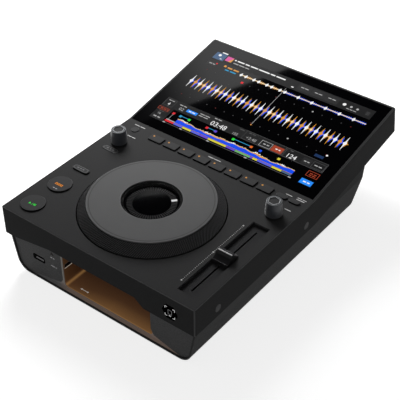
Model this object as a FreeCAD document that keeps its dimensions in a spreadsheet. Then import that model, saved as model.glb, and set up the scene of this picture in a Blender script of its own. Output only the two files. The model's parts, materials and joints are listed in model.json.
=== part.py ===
import FreeCAD, Part
import os
import re

import Sketcher

# Tabletop DJ media player: a bent slab (level deck, tilted screen) on a tapered base shell.
# Frame: X to the user's right, Y to the back, Z up, origin under the middle of the footprint.

doc = FreeCAD.newDocument("media_player")
sheet = doc.addObject("Spreadsheet::Sheet", "Sizes")

# Driving dimensions, millimetres and degrees
SIZES = [
    ("width", 320, "slab, side to side"),
    ("front_to_bend", 257, "level deck, front edge to the bend"),
    ("screen_run", 208.5, "tilted part, bend to its far edge"),
    ("tilt", 10.3, "screen tilt, degrees"),
    ("slab_depth", 44, "slab thickness"),
    ("base_depth", 59.8, "base shell under the slab"),
    ("foot_depth", 2.2, "rubber foot height"),
    ("foot_radius", 11, "rubber foot"),
    ("foot_margin", 56, "feet, from the slab's side"),
    ("foot_front", 44, "front feet, from the slab front"),
    ("foot_back", 346, "back feet, from the slab front"),
    ("plate_wall", 3.2, "slab top wall"),
    ("side_wall", 3, "slab side wall"),
    ("front_wall", 7.6, "slab front wall"),
    ("under_wall", 2.5, "slab underside wall"),
    ("corner_radius", 3, "slab corners"),
    ("edge_bevel", 0.8, "slab edges"),
    ("ledge", 14, "rim of the underside opening"),
    ("base_inset", 3.4, "base behind the slab's sides"),
    ("base_front", 6, "base behind the slab's front"),
    ("base_back", 395, "base back at its top, from the slab front"),
    ("base_lean", 10.4, "lean of the base walls, degrees"),
    ("base_radius", 20, "base lower corners"),
    ("base_wall", 2.5, "base shell wall"),
    ("base_bevel", 7, "base rear lower edge"),
    ("face_gap", 0.3, "between pieces that lie on each other"),
    ("front_plate_y", 8, "front plates, from the slab front"),
    ("front_plate_wall", 2.5, "front plates"),
    ("mouth_left_margin", 93, "recess mouth, from the slab's left side"),
    ("mouth_right_margin", 76.5, "recess mouth, from the slab's right side"),
    ("mouth_floor", 97.2, "recess floor under the deck top"),
    ("mouth_top", 32.6, "recess top under the deck top"),
    ("mouth_back", 60, "recess back wall, from the slab front"),
    ("mouth_radius", 6, "recess floor corners"),
    ("mouth_corner", 4.5, "bevel at the recess's lower front corners"),
    ("tray_wall", 2, "recess tray"),
    ("lip_left", 4.4, "lip's left end, before the rim's corner"),
    ("lip_right", 0.6, "lip's right end, before the rim's corner"),
    ("plate_low", 91, "front plates' lower edge at the recess, under the deck top"),
    ("notch_left_margin", 10, "start of the slab's raised lower edge, from its left side"),
    ("notch_flat_margin", 82, "end of its slope, from the left side"),
    ("notch_step_margin", 94, "start of its step down, from the right side"),
    ("notch_radius", 5.5, "rounding at the step"),
    ("notch_right_margin", 79, "end of that step, from the right side"),
    ("port_margin", 51.8, "front port, from the slab's left side"),
    ("port_drop", 68.6, "front port under the deck top"),
    ("port_width", 19.8, "front port"),
    ("port_height", 7.4, "front port"),
    ("port_depth", 12, "front port"),
    ("port_rim", 0.9, "front port shell"),
    ("mark_margin", 77.6, "triangular lamp, from the slab's left side"),
    ("mark_drop", 47.3, "triangular lamp under the deck top"),
    ("mark_size", 6.4, "triangular lamp"),
    ("usb_y", 21, "side socket, from the slab front"),
    ("usb_drop", 65, "side socket under the deck top"),
    ("usb_width", 15.6, "side socket frame"),
    ("usb_height", 8, "side socket frame"),
    ("usb_open_width", 13.1, "side socket opening"),
    ("usb_open_height", 5.6, "side socket opening"),
    ("usb_depth", 17, "side socket"),
    ("icon_margin", 37.6, "hexagonal window, from the slab's right side"),
    ("icon_drop", 24.2, "hexagonal window under the deck top"),
    ("icon_size", 11.2, "hexagonal window, half its height"),
    ("icon_wall", 1.4, "hexagonal window"),
    ("plug_radius", 5.5, "side plugs"),
    ("plug_wall", 1.3, "side plugs"),
    ("plug_drop", 30.5, "side plugs under the deck top"),
    ("plug_front", 46, "front plugs, from the slab front"),
    ("plug_back", 239.5, "back plugs, from the slab front"),
    ("glass_margin", 3.6, "slab rim beside the glass"),
    ("glass_wall", 1.8, "screen glass"),
    ("glass_ledge", 7, "ledge under the glass"),
    ("panel_wall", 5, "screen panel"),
    ("panel_margin", 2, "panel inside its opening"),
    ("bracket_wall", 1.5, "panel bracket"),
    ("jog_y", 115.7, "jog centre, from the slab front"),
    ("jog_gap_radius", 99.2, "deck hole round the jog"),
    ("jog_ring_radius", 97.4, "jog ring at the deck"),
    ("jog_top_radius", 85.2, "jog top plate"),
    ("jog_rise", 15, "jog top above the deck"),
    ("jog_plate_wall", 2, "jog top plate"),
    ("jog_hole", 40.3, "jog top plate's hole"),
    ("jog_post_radius", 39.9, "fixed post in the jog"),
    ("jog_post_wall", 3, "fixed post in the jog"),
    ("jog_window_wall", 1.6, "jog window"),
    ("jog_display_drop", 4, "jog display under its window"),
    ("jog_bush_wall", 3, "jog bush"),
    ("jog_hub_wall", 4, "jog hub"),
    ("jog_web_wall", 3, "jog web and skirt"),
    ("jog_web_drop", 6, "jog web's top under the deck top"),
    ("jog_pan_drop", 22, "jog pan's floor under the deck top"),
    ("jog_pan_wall", 2, "jog pan"),
    ("jog_pan_rim", 5, "jog pan's flange"),
    ("running_gap", 0.06, "radial clearance of shafts"),
    ("button_gap", 0.4, "clearance round a button"),
    ("button_rise", 2.4, "button top above the deck"),
    ("button_flange", 1.5, "button flange"),
    ("button_wall", 1.8, "button top and side"),
    ("button_travel", 1.2, "button travel"),
    ("board_drop", 14, "button boards' underside under the deck top"),
    ("board_wall", 1.6, "circuit boards"),
    ("switch_size", 6.2, "switches on the boards"),
    ("switch_rise", 3.6, "switches on the boards"),
    ("left_shift", 0.4, "left controls, outwards of the middle of their strip"),
    ("play_y", 29, "play button, from the slab front"),
    ("cue_y", 79.8, "cue button, from the slab front"),
    ("round_radius", 16.6, "play and cue buttons"),
    ("loop_y", 121, "raised pill button, from the slab front"),
    ("sync_y", 181.5, "flush pill button, from the slab front"),
    ("pill_margin", 16.6, "pill buttons, from the slab's side and from the jog's hole"),
    ("pill_height", 9.2, "pill buttons"),
    ("source_margin", 26.4, "small round button, from the slab's left side"),
    ("source_radius", 5.9, "small round button"),
    ("row_y", 238.2, "row of buttons under the screen"),
    ("row_margin", 66.55, "first and last hot cue, from the slab's sides"),
    ("cue_gap", 4.3, "between hot cue buttons"),
    ("cue_depth", 13.6, "hot cue buttons"),
    ("cue_count", 8, "hot cue buttons"),
    ("cap_radius", 1.6, "hot cue corners"),
    ("menu_margin", 39.8, "first of the pair at the right, from the slab's side"),
    ("menu_pitch", 19.6, "pair at the right"),
    ("menu_width", 17, "pair at the right"),
    ("menu_depth", 8.4, "pair at the right"),
    ("menu_flange", 1.1, "pair at the right"),
    ("right_shift", 3.6, "right controls, outwards of the middle of their strip"),
    ("dial_y", 200, "dials, from the slab front"),
    ("dial_radius", 11.4, "dials at the deck"),
    ("dial_top_radius", 10.4, "dials at the top"),
    ("dial_rise", 24, "dial top above the deck"),
    ("dial_gap", 0.9, "dial above the deck"),
    ("dial_dish", 1.2, "dished dial top"),
    ("dial_travel", 0.6, "dial press"),
    ("shaft_radius", 3, "dial shafts"),
    ("shaft_rise", 18, "dial shafts above the deck"),
    ("bush_radius", 4.6, "encoder bushes"),
    ("encoder_size", 13, "encoder bodies"),
    ("encoder_depth", 7, "encoder bodies"),
    ("trough_y", 95.6, "slider middle, from the slab front"),
    ("trough_width", 26.2, "slider trough"),
    ("trough_length", 155.6, "slider trough"),
    ("trough_depth", 4.6, "slider trough"),
    ("trough_wall", 1.4, "slider trough"),
    ("slot_width", 2.4, "slider slot"),
    ("slot_length", 134, "slider slot"),
    ("slider_travel", 60, "slider, each way from the middle"),
    ("tempo_cap_width", 22.4, "slider cap"),
    ("tempo_cap_length", 23, "slider cap"),
    ("tempo_cap_rise", 10.5, "slider cap above the deck"),
    ("tempo_ridge", 6, "slider cap's ridge"),
    ("stem_wall", 1.4, "slider stem"),
    ("stem_length", 8, "slider stem"),
    ("rod_radius", 2, "slider rod"),
    ("can_width", 15, "slider unit"),
    ("can_depth", 14, "slider unit"),
    ("can_wall", 1, "slider unit"),
    ("main_width", 190, "main board"),
    ("main_length", 130, "main board"),
    ("main_y", 150, "main board's front edge, from the slab front"),
    ("power_width", 120, "power board"),
    ("power_length", 74, "power board"),
    ("power_x", 64, "power board, right of the middle"),
    ("power_y", 286, "power board's front edge, from the slab front"),
    ("standoff_rise", 8, "board standoffs"),
    ("standoff_radius", 3.6, "board standoffs"),
    ("screw_radius", 1.5, "case screws"),
    ("screw_head_radius", 2.9, "case screw heads"),
    ("screw_head_rise", 1.6, "case screw heads"),
    ("rear_margin", 35, "rear opening, from the slab's sides"),
    ("rear_height", 34, "rear opening"),
    ("board_margin", 4, "boards, round what they carry"),
    ("rear_drop", 62, "middle of the rear opening under the deck top"),
    ("rear_plate_wall", 1.5, "rear panel"),
    ("inlet_margin", 27, "mains inlet, from the rear opening's side"),
    ("inlet_width", 27, "mains inlet"),
    ("inlet_height", 20, "mains inlet"),
    ("switch_margin", 59, "rear power button, from the rear opening's side"),
    ("switch_radius", 6, "rear power button"),
    ("phono_x", 30, "phono sockets, from the middle"),
    ("phono_pitch", 16, "phono sockets"),
    ("phono_radius", 4.2, "phono sockets"),
    ("data_x", 52, "data sockets, left of the middle"),
    ("data_pitch", 24, "data sockets"),
    ("data_width", 16, "data sockets"),
    ("data_height", 13.5, "data sockets"),
    ("socket_depth", 14, "rear sockets"),
]
for row, (name, size, note) in enumerate(SIZES, start=1):
    sheet.set("A%d" % row, note)
    sheet.set("B%d" % row, str(size))
    sheet.setAlias("B%d" % row, name)
doc.recompute()
NAMES = {name for name, size, note in SIZES}

# Sizes that follow from others
DERIVED = {
    "foot_x": "(width / 2 - foot_margin)",
    "mouth_left": "(width / 2 - mouth_left_margin)",
    "mouth_right": "(width / 2 - mouth_right_margin)",
    "notch_left": "(width / 2 - notch_left_margin)",
    "notch_flat": "(width / 2 - notch_flat_margin)",
    "notch_step": "(width / 2 - notch_step_margin)",
    "notch_right": "(width / 2 - notch_right_margin)",
    "port_x": "(width / 2 - port_margin)",
    "mark_x": "(width / 2 - mark_margin)",
    "icon_x": "(width / 2 - icon_margin)",
    "left_x": "(width / 4 + jog_gap_radius / 2 + left_shift)",
    "right_x": "(width / 4 + jog_gap_radius / 2 + right_shift)",
    "source_x": "(width / 2 - source_margin)",
    "cue_pitch": "((width - 2 * row_margin) / (cue_count - 1))",
    "cue_width": "((width - 2 * row_margin) / (cue_count - 1) - cue_gap)",
    "menu_x": "(width / 2 - menu_margin)",
    "pill_width": "(width / 2 - jog_gap_radius - 2 * pill_margin)",
    "rear_width": "(width - 2 * rear_margin)",
    "inlet_x": "(width / 2 - rear_margin - inlet_margin)",
    "switch_x": "(width / 2 - rear_margin - switch_margin)",
}

# Formulas that many pieces share, in the names of the sheet
FRONT = "(0 - (front_to_bend + screen_run * cos(tilt) + (slab_depth - edge_bevel) * sin(tilt)) / 2)"
BEND = "(%s + front_to_bend)" % FRONT
DECK = "(foot_depth + base_depth + slab_depth)"
UNDER = "(foot_depth + base_depth)"
SEAT = "(foot_depth + base_wall)"
RIM = "(base_wall + face_gap)"
RIM_CORNER = (
    "(width / 2 - base_inset - %s - (base_depth - %s) * tan(base_lean)"
    " - (base_radius - %s) * tan(45 - base_lean / 2))" % (RIM, RIM, RIM)
)
LIP_LEFT = "(%s - lip_left)" % RIM_CORNER
LIP_RIGHT = "(%s - lip_right)" % RIM_CORNER
MOUTH_TOP = "(%s - mouth_top)" % DECK
MOUTH_FLOOR = "(%s - mouth_floor)" % DECK
BOARD_TOP = "(%s - board_drop + board_wall)" % DECK
ROW_Y = "(%s + row_y)" % FRONT
JOG_Y = "(%s + jog_y)" % FRONT
TROUGH_Y = "(%s + trough_y)" % FRONT
DIAL_Y = "(%s + dial_y)" % FRONT

pieces = []


def formula(text):
    """A formula of size names, as one that reads the sheet."""
    word = re.compile(r"[a-z_]+")
    spread = word.sub(lambda found: DERIVED.get(found.group(), found.group()), str(text))
    return word.sub(lambda found: "Sizes." + found.group() if found.group() in NAMES else found.group(), spread)


def number(text):
    """The value that a formula has now."""
    return float(sheet.evalExpression(formula(text)))


def bind(target, prop, text):
    """Ties a property of an object to a formula."""
    target.setExpression(prop, formula(text))


def piece(target, label):
    """Names an object as a finished piece."""
    target.Label = label
    pieces.append(target)
    return target


def place(target, x="0", y="0", z="0"):
    """Ties an object's place to three formulas."""
    for axis, text in zip("xyz", (x, y, z)):
        bind(target, "Placement.Base." + axis, text)
    return target


def lean(target, angle):
    """Turns an object about its own X axis by a formula in degrees."""
    target.Placement = FreeCAD.Placement(FreeCAD.Vector(), FreeCAD.Rotation(FreeCAD.Vector(1, 0, 0), 1))
    bind(target, "Placement.Rotation.Angle", angle)
    return target


def block(name, x0, x1, y0, y1, z0, z1):
    """A box between two corners, each coordinate a formula."""
    box = doc.addObject("Part::Box", name)
    place(box, x0, y0, z0)
    bind(box, "Length", "(%s) - (%s)" % (x1, x0))
    bind(box, "Width", "(%s) - (%s)" % (y1, y0))
    bind(box, "Height", "(%s) - (%s)" % (z1, z0))
    return box


def post(name, x, y, z0, z1, radius):
    """An upright cylinder."""
    rod = doc.addObject("Part::Cylinder", name)
    bind(rod, "Radius", radius)
    bind(rod, "Height", "(%s) - (%s)" % (z1, z0))
    return place(rod, x, y, z0)


def cut(name, base, tool):
    """One object less another."""
    result = doc.addObject("Part::Cut", name)
    result.Base = base
    result.Tool = tool
    return result


def fuse(name, parts):
    """Several objects as one."""
    result = doc.addObject("Part::MultiFuse", name)
    result.Shapes = parts
    result.Refine = True
    return result


def group(name, parts):
    """Several separate solids in one object."""
    result = doc.addObject("Part::Compound", name)
    result.Links = parts
    return result


def new_body(name):
    """An empty body."""
    return doc.addObject("PartDesign::Body", name)


def sketch_on(body, role, name, offset="0"):
    """A sketch on one of the body's own planes, moved along its normal by a formula."""
    sketch = body.newObject("Sketcher::SketchObject", name)
    plane = next(item for item in body.Origin.OriginFeatures if item.Role == role)
    sketch.AttachmentSupport = [(plane, "")]
    sketch.MapMode = "FlatFace"
    bind(sketch, "AttachmentOffset.Base.z", offset)
    return sketch


def sketch_on_screen(body, name):
    """A sketch on the tilted screen face, its origin at the bend."""
    sketch = sketch_on(body, "XY_Plane", name)
    sketch.AttachmentOffset = FreeCAD.Placement(FreeCAD.Vector(), FreeCAD.Rotation(FreeCAD.Vector(1, 0, 0), 1))
    bind(sketch, "AttachmentOffset.Base.y", BEND)
    bind(sketch, "AttachmentOffset.Base.z", DECK)
    bind(sketch, "AttachmentOffset.Rotation.Angle", "tilt")
    return sketch


def hold(sketch, links, measures):
    """Adds plain links, then measured constraints, each bound to its formula."""
    sketch.addConstraint(links + [Sketcher.Constraint(*kind, number(text)) for kind, text in measures])
    first = sketch.ConstraintCount - len(measures)
    for step, (kind, text) in enumerate(measures):
        bind(sketch, "Constraints[%d]" % (first + step), text)


def at_point(item, point, x, y):
    """Two measures that hold a sketch point, from the sketch's origin."""
    return [(("DistanceX", -1, 1, item, point), x), (("DistanceY", -1, 1, item, point), y)]


def polygon(sketch, points):
    """A closed outline of straight lines."""
    corners = [FreeCAD.Vector(number(x), number(y), 0) for x, y in points]
    first = sketch.GeometryCount
    total = len(points)
    after = [(step + 1) % total for step in range(total)]
    sketch.addGeometry([Part.LineSegment(corners[step], corners[after[step]]) for step in range(total)])
    links = [Sketcher.Constraint("Coincident", first + step, 2, first + after[step], 1) for step in range(total)]
    measures = []
    for step, (x, y) in enumerate(points):
        measures += at_point(first + step, 1, x, y)
    hold(sketch, links, measures)


def rectangle(sketch, x0, x1, y0, y1):
    """A closed rectangle between two corners."""
    polygon(sketch, [(x0, y0), (x1, y0), (x1, y1), (x0, y1)])


def circle(sketch, x, y, radius):
    """A circle."""
    middle = FreeCAD.Vector(number(x), number(y), 0)
    item = sketch.addGeometry(Part.Circle(middle, FreeCAD.Vector(0, 0, 1), number(radius)))
    hold(sketch, [], at_point(item, 3, x, y) + [(("Radius", item), radius)])


def round_box(sketch, x, y, width, depth, radius):
    """A rectangle about a centre, with round corners."""
    turns = [(1, 1, 0), (-1, 1, 90), (-1, -1, 180), (1, -1, 270)]
    half_x = "(%s) / 2" % width
    half_y = "(%s) / 2" % depth
    first = sketch.GeometryCount
    ends = []
    for sign_x, sign_y, start in turns:
        near_x = "(%s) + %d * (%s - (%s))" % (x, sign_x, half_x, radius)
        near_y = "(%s) + %d * (%s - (%s))" % (y, sign_y, half_y, radius)
        far_x = "(%s) + %d * %s" % (x, sign_x, half_x)
        far_y = "(%s) + %d * %s" % (y, sign_y, half_y)
        pair = [(far_x, near_y), (near_x, far_y)]
        ends.append(pair if sign_x == sign_y else pair[::-1])
        centre = FreeCAD.Vector(number(near_x), number(near_y), 0)
        ring = Part.Circle(centre, FreeCAD.Vector(0, 0, 1), number(radius))
        sketch.addGeometry(Part.ArcOfCircle(ring, *[turn * 3.141592653589793 / 180 for turn in (start, start + 90)]))
    for step in range(4):
        begin = ends[step][1]
        finish = ends[(step + 1) % 4][0]
        line = [FreeCAD.Vector(number(px), number(py), 0) for px, py in (begin, finish)]
        sketch.addGeometry(Part.LineSegment(line[0], line[1]))
    links = []
    measures = []
    for step in range(4):
        edge = first + 4 + step
        after = first + (step + 1) % 4
        links.append(Sketcher.Constraint("Coincident", first + step, 2, edge, 1))
        links.append(Sketcher.Constraint("Coincident", edge, 2, after, 1))
        measures += at_point(first + step, 1, *ends[step][0])
        measures += at_point(first + step, 2, *ends[step][1])
        measures.append((("Radius", first + step), radius))
    hold(sketch, links, measures)


def pad(body, sketch, length, reverse=False, middle=False):
    """Adds material along the sketch's normal."""
    feature = body.newObject("PartDesign::Pad", sketch.Name + "_pad")
    feature.Profile = sketch
    bind(feature, "Length", length)
    feature.Reversed = reverse
    feature.SideType = "Symmetric" if middle else "One side"
    doc.recompute()
    return feature


def pocket(body, sketch, length, reverse=False, middle=False):
    """Removes material against the sketch's normal, and checks that some came away."""
    before = body.Shape.Volume
    feature = body.newObject("PartDesign::Pocket", sketch.Name + "_cut")
    feature.Profile = sketch
    bind(feature, "Length", length)
    feature.Reversed = reverse
    feature.SideType = "Symmetric" if middle else "One side"
    doc.recompute()
    if not body.Shape.Volume < before:
        raise RuntimeError("%s removed nothing" % feature.Name)
    return feature


def turned(name, points):
    """A body of revolution about its own Z axis, from an outline in its XZ plane."""
    body = new_body(name)
    sketch = sketch_on(body, "XZ_Plane", name + "_half")
    polygon(sketch, points)
    feature = body.newObject("PartDesign::Revolution", name + "_turn")
    feature.Profile = sketch
    feature.ReferenceAxis = (sketch, ["V_Axis"])
    feature.Angle = 360
    doc.recompute()
    return body


def round_edges(body, feature, name, size, chosen, kind="Fillet"):
    """Rounds or bevels the edges of a feature that a test picks."""
    edges = ["Edge%d" % (index + 1) for index, edge in enumerate(feature.Shape.Edges) if chosen(edge)]
    if not edges:
        raise RuntimeError("%s found no edge" % name)
    result = body.newObject("PartDesign::" + kind, name)
    result.Base = (feature, edges)
    bind(result, "Radius" if kind == "Fillet" else "Size", size)
    doc.recompute()
    return result


def middle_of(edge):
    """The middle point of an edge."""
    return edge.valueAt((edge.FirstParameter + edge.LastParameter) / 2)


def runs_along(edge, axis):
    """True for a straight edge along an axis."""
    if edge.Curve.TypeId != "Part::GeomLine":
        return False
    along = edge.tangentAt(edge.FirstParameter)
    return abs(along.dot(axis)) > 0.999


AXIS_X = FreeCAD.Vector(1, 0, 0)
AXIS_Y = FreeCAD.Vector(0, 1, 0)
AXIS_Z = FreeCAD.Vector(0, 0, 1)
TILTED_Z = FreeCAD.Rotation(AXIS_X, number("tilt")).multVec(AXIS_Z)


def slab_point(along, down):
    """A point of the slab's side outline: distance past the bend up the slope, and depth under the top."""
    y = "%s + (%s) * cos(tilt) + (%s) * sin(tilt)" % (BEND, along, down)
    z = "%s + (%s) * sin(tilt) - (%s) * cos(tilt)" % (DECK, along, down)
    return y, z


def bend_point(down):
    """The bend of the slab's side outline at a depth under the top."""
    return "%s + (%s) * tan(tilt / 2)" % (BEND, down), "%s - (%s)" % (DECK, down)


# Places of the buttons: name, x, y, outline, sizes, rise above the deck, flange
ROUND = "round"
PILL = "pill"
CAP = "cap"
PILL_SIZE = ("pill_width", "pill_height")
MENU_SIZE = ("menu_width", "menu_depth")
BUTTONS = [
    ("play_button", "0 - left_x", "%s + play_y" % FRONT, ROUND, "round_radius", "button_rise", "button_flange"),
    ("cue_button", "0 - left_x", "%s + cue_y" % FRONT, ROUND, "round_radius", "button_rise", "button_flange"),
    ("loop_button", "0 - left_x", "%s + loop_y" % FRONT, PILL, PILL_SIZE, "button_rise", "button_flange"),
    ("sync_button", "0 - left_x", "%s + sync_y" % FRONT, PILL, PILL_SIZE, "button_rise / 4", "button_flange"),
    ("source_button", "0 - source_x", ROW_Y, ROUND, "source_radius", "button_rise / 2", "button_flange"),
    ("back_button", "menu_x", ROW_Y, PILL, MENU_SIZE, "button_rise", "menu_flange"),
    ("menu_button", "menu_x + menu_pitch", ROW_Y, PILL, MENU_SIZE, "button_rise", "menu_flange"),
]
for step in range(int(number("cue_count"))):
    BUTTONS.append((
        "hot_cue_%d" % (step + 1), "(%d - (cue_count - 1) / 2) * cue_pitch" % step, ROW_Y,
        CAP, ("cue_width", "cue_depth"), "button_rise", "button_flange",
    ))


def button_outline(sketch, shape, size, x, y, grow):
    """The outline of a button, grown all round."""
    if shape == ROUND:
        circle(sketch, x, y, "%s + (%s)" % (size, grow))
        return
    width, depth = ("%s + 2 * (%s)" % (side, grow) for side in size)
    radius = "cap_radius + (%s)" % grow if shape == CAP else "(%s) / 2 - 0.05" % depth
    round_box(sketch, x, y, width, depth, radius)


# Deck shell
def make_deck_shell():
    """The bent slab: hollow, with every hole of the deck, the screen seat and the front notch."""
    body = new_body("DeckShell")
    side = sketch_on(body, "YZ_Plane", "SlabSide")
    polygon(side, [
        (FRONT, DECK), bend_point("0"), slab_point("screen_run", "0"), slab_point("screen_run", "slab_depth"),
        bend_point("slab_depth"), (FRONT, UNDER),
    ])
    slab = pad(body, side, "width", middle=True)
    rounded = round_edges(
        body, slab, "SlabCorners", "corner_radius",
        lambda edge: runs_along(edge, AXIS_Z) or runs_along(edge, TILTED_Z))
    bend = number(BEND)

    def is_rim(edge):
        spot = middle_of(edge)
        upright = runs_along(edge, AXIS_Z) or runs_along(edge, TILTED_Z)
        across_bend = runs_along(edge, AXIS_X) and abs(spot.y - bend) < number("slab_depth") / 4
        return not upright and not across_bend

    round_edges(body, rounded, "SlabBevel", "edge_bevel", is_rim, "Chamfer")

    low = "(slab_depth - under_wall)"
    far = "(screen_run - side_wall)"
    inside = sketch_on(body, "YZ_Plane", "SlabInside")
    polygon(inside, [
        ("%s + front_wall" % FRONT, "%s - plate_wall" % DECK), bend_point("plate_wall"),
        slab_point(far, "plate_wall"), slab_point(far, low), bend_point(low),
        ("%s + front_wall" % FRONT, "%s - %s" % (DECK, low)),
    ])
    pocket(body, inside, "width - 2 * side_wall", middle=True)

    under = sketch_on(body, "XY_Plane", "UnderOpening", "%s - 1" % UNDER)
    rectangle(under, "0 - width / 2 + ledge", "width / 2 - ledge", "%s + mouth_back + 6" % FRONT,
              "%s + base_back - ledge" % FRONT)
    pocket(body, under, "slab_depth - 12", reverse=True)

    tray = sketch_on(body, "XY_Plane", "TrayOpening", "%s - 1" % UNDER)
    rectangle(tray, "0 - mouth_left - tray_wall - face_gap", "mouth_right + tray_wall + face_gap",
              "%s + front_plate_y - face_gap" % FRONT, "%s + mouth_back + tray_wall + face_gap" % FRONT)
    pocket(body, tray, "slab_depth - mouth_top + tray_wall + 1 + face_gap", reverse=True)

    plates = sketch_on(body, "XY_Plane", "PlateOpening", "%s - 1" % UNDER)
    rectangle(plates, "0 - width / 2 + base_inset + base_wall", "width / 2 - base_inset - base_wall",
              "%s + front_wall - 0.1" % FRONT,
              "%s + front_plate_y + front_plate_wall + face_gap" % FRONT)
    pocket(body, plates, "under_wall + 1", reverse=True)

    notch = sketch_on(body, "XZ_Plane", "FrontNotch", "1 - %s" % FRONT)
    polygon(notch, [
        ("0 - notch_left", "%s - 1" % UNDER), ("0 - notch_left", UNDER), ("0 - notch_flat", MOUTH_TOP),
        ("notch_step", MOUTH_TOP), ("notch_right", UNDER), ("notch_right", "%s - 1" % UNDER),
    ])
    cut_notch = pocket(body, notch, "front_wall + 1.5")
    front = number(FRONT)
    top = number(MOUTH_TOP)

    def is_step(edge):
        spot = middle_of(edge)
        at_step = abs(spot.x - number("notch_step")) < 0.5 and abs(spot.z - top) < 0.5
        return runs_along(edge, AXIS_Y) and at_step and spot.y < front + number("front_wall") + 0.2

    round_edges(body, cut_notch, "NotchStep", "notch_radius", is_step)

    holes = sketch_on(body, "XY_Plane", "DeckHoles", DECK)
    circle(holes, "0", JOG_Y, "jog_gap_radius")
    for x in ("0 - left_x", "right_x"):
        circle(holes, x, DIAL_Y, "bush_radius + face_gap")
    rectangle(holes, "right_x - trough_width / 2", "right_x + trough_width / 2",
              "%s - trough_length / 2" % TROUGH_Y, "%s + trough_length / 2" % TROUGH_Y)
    pocket(body, holes, "plate_wall + 0.5")
    for first in range(0, len(BUTTONS), 4):
        row = sketch_on(body, "XY_Plane", "ButtonHoles%d" % first, DECK)
        for name, x, y, shape, size, rise, flange in BUTTONS[first:first + 4]:
            button_outline(row, shape, size, x, y, "button_gap")
        pocket(body, row, "plate_wall + 0.5")

    seat = sketch_on_screen(body, "GlassSeat")
    rectangle(seat, "0 - width / 2 + glass_margin", "width / 2 - glass_margin", "face_gap",
              "screen_run - glass_margin")
    pocket(body, seat, "glass_wall + face_gap / 2")
    window = sketch_on_screen(body, "GlassOpening")
    rectangle(window, "0 - width / 2 + glass_margin + glass_ledge", "width / 2 - glass_margin - glass_ledge",
              "glass_ledge", "screen_run - glass_margin - glass_ledge")
    pocket(body, window, "plate_wall + 1")

    for side_sign, offset, reverse in ((1, "width / 2", False), (-1, "0 - width / 2", True)):
        plugs = sketch_on(body, "YZ_Plane", "PlugSeat" + ("Right" if side_sign > 0 else "Left"), offset)
        for y in ("plug_front", "plug_back"):
            circle(plugs, "%s + %s" % (FRONT, y), "%s - plug_drop" % DECK, "plug_radius + face_gap / 2")
        pocket(body, plugs, "plug_wall + face_gap / 2", reverse=reverse)

    icon = sketch_on(body, "XZ_Plane", "IconSeat", "0 - %s" % FRONT)
    hexagon(icon, "face_gap / 2")
    pocket(body, icon, "icon_wall + face_gap / 2")

    posts = sketch_on(body, "XY_Plane", "BoardPosts", "%s - plate_wall + 0.5" % DECK)
    for x, y in BOARD_POSTS:
        circle(posts, x, y, "standoff_radius")
    pad(body, posts, "board_drop - board_wall - plate_wall + 0.5 - face_gap / 2", reverse=True)
    return piece(body, "deck_shell")


def hexagon(sketch, grow):
    """The six-sided outline of the icon window, on the slab's front."""
    reach = "(icon_size + %s)" % grow
    middle = "%s - icon_drop" % DECK
    corners = [("1.1", "0"), ("0.55", "1"), ("-0.55", "1"), ("-1.1", "0"), ("-0.55", "-1"), ("0.55", "-1")]
    polygon(sketch, [("icon_x + %s * %s" % (reach, x), "%s + %s * %s" % (middle, reach, z)) for x, z in corners])


# Button boards hang on posts under the deck: left column, and the row in front of the screen
LEFT_BOARD = ("0 - width / 2 + side_wall + board_margin / 4", "0 - left_x + round_radius + board_margin * 3 / 4",
              "%s + front_wall + board_margin / 2" % FRONT, "%s + sync_y + pill_height" % FRONT)
TOP_BOARD = ("0 - width / 2 + side_wall + board_margin / 4", "width / 2 - side_wall - board_margin / 4",
             "%s - cue_depth / 2 - board_margin * 2" % ROW_Y, "%s + cue_depth / 2 + board_margin" % ROW_Y)
BOARD_POSTS = [
    ("0 - left_x - round_radius - 3", "%s + (play_y + cue_y) / 2" % FRONT),
    ("0 - left_x + round_radius - 2", "%s + (play_y + cue_y) / 2" % FRONT),
    ("0 - left_x - round_radius - 3", "%s + (loop_y + sync_y) / 2" % FRONT),
    ("0 - left_x + round_radius - 2", "%s + sync_y - pill_height - 4" % FRONT),
    ("0 - width / 2 + side_wall + 7", "%s + cue_depth / 2 - 1" % ROW_Y),
    ("0 - (source_x + cue_pitch * (cue_count - 1) / 2 + cue_width / 2) / 2 - 1", ROW_Y),
    ("width / 2 - side_wall - 9", "%s - menu_depth / 2 - 6" % ROW_Y),
]


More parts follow.
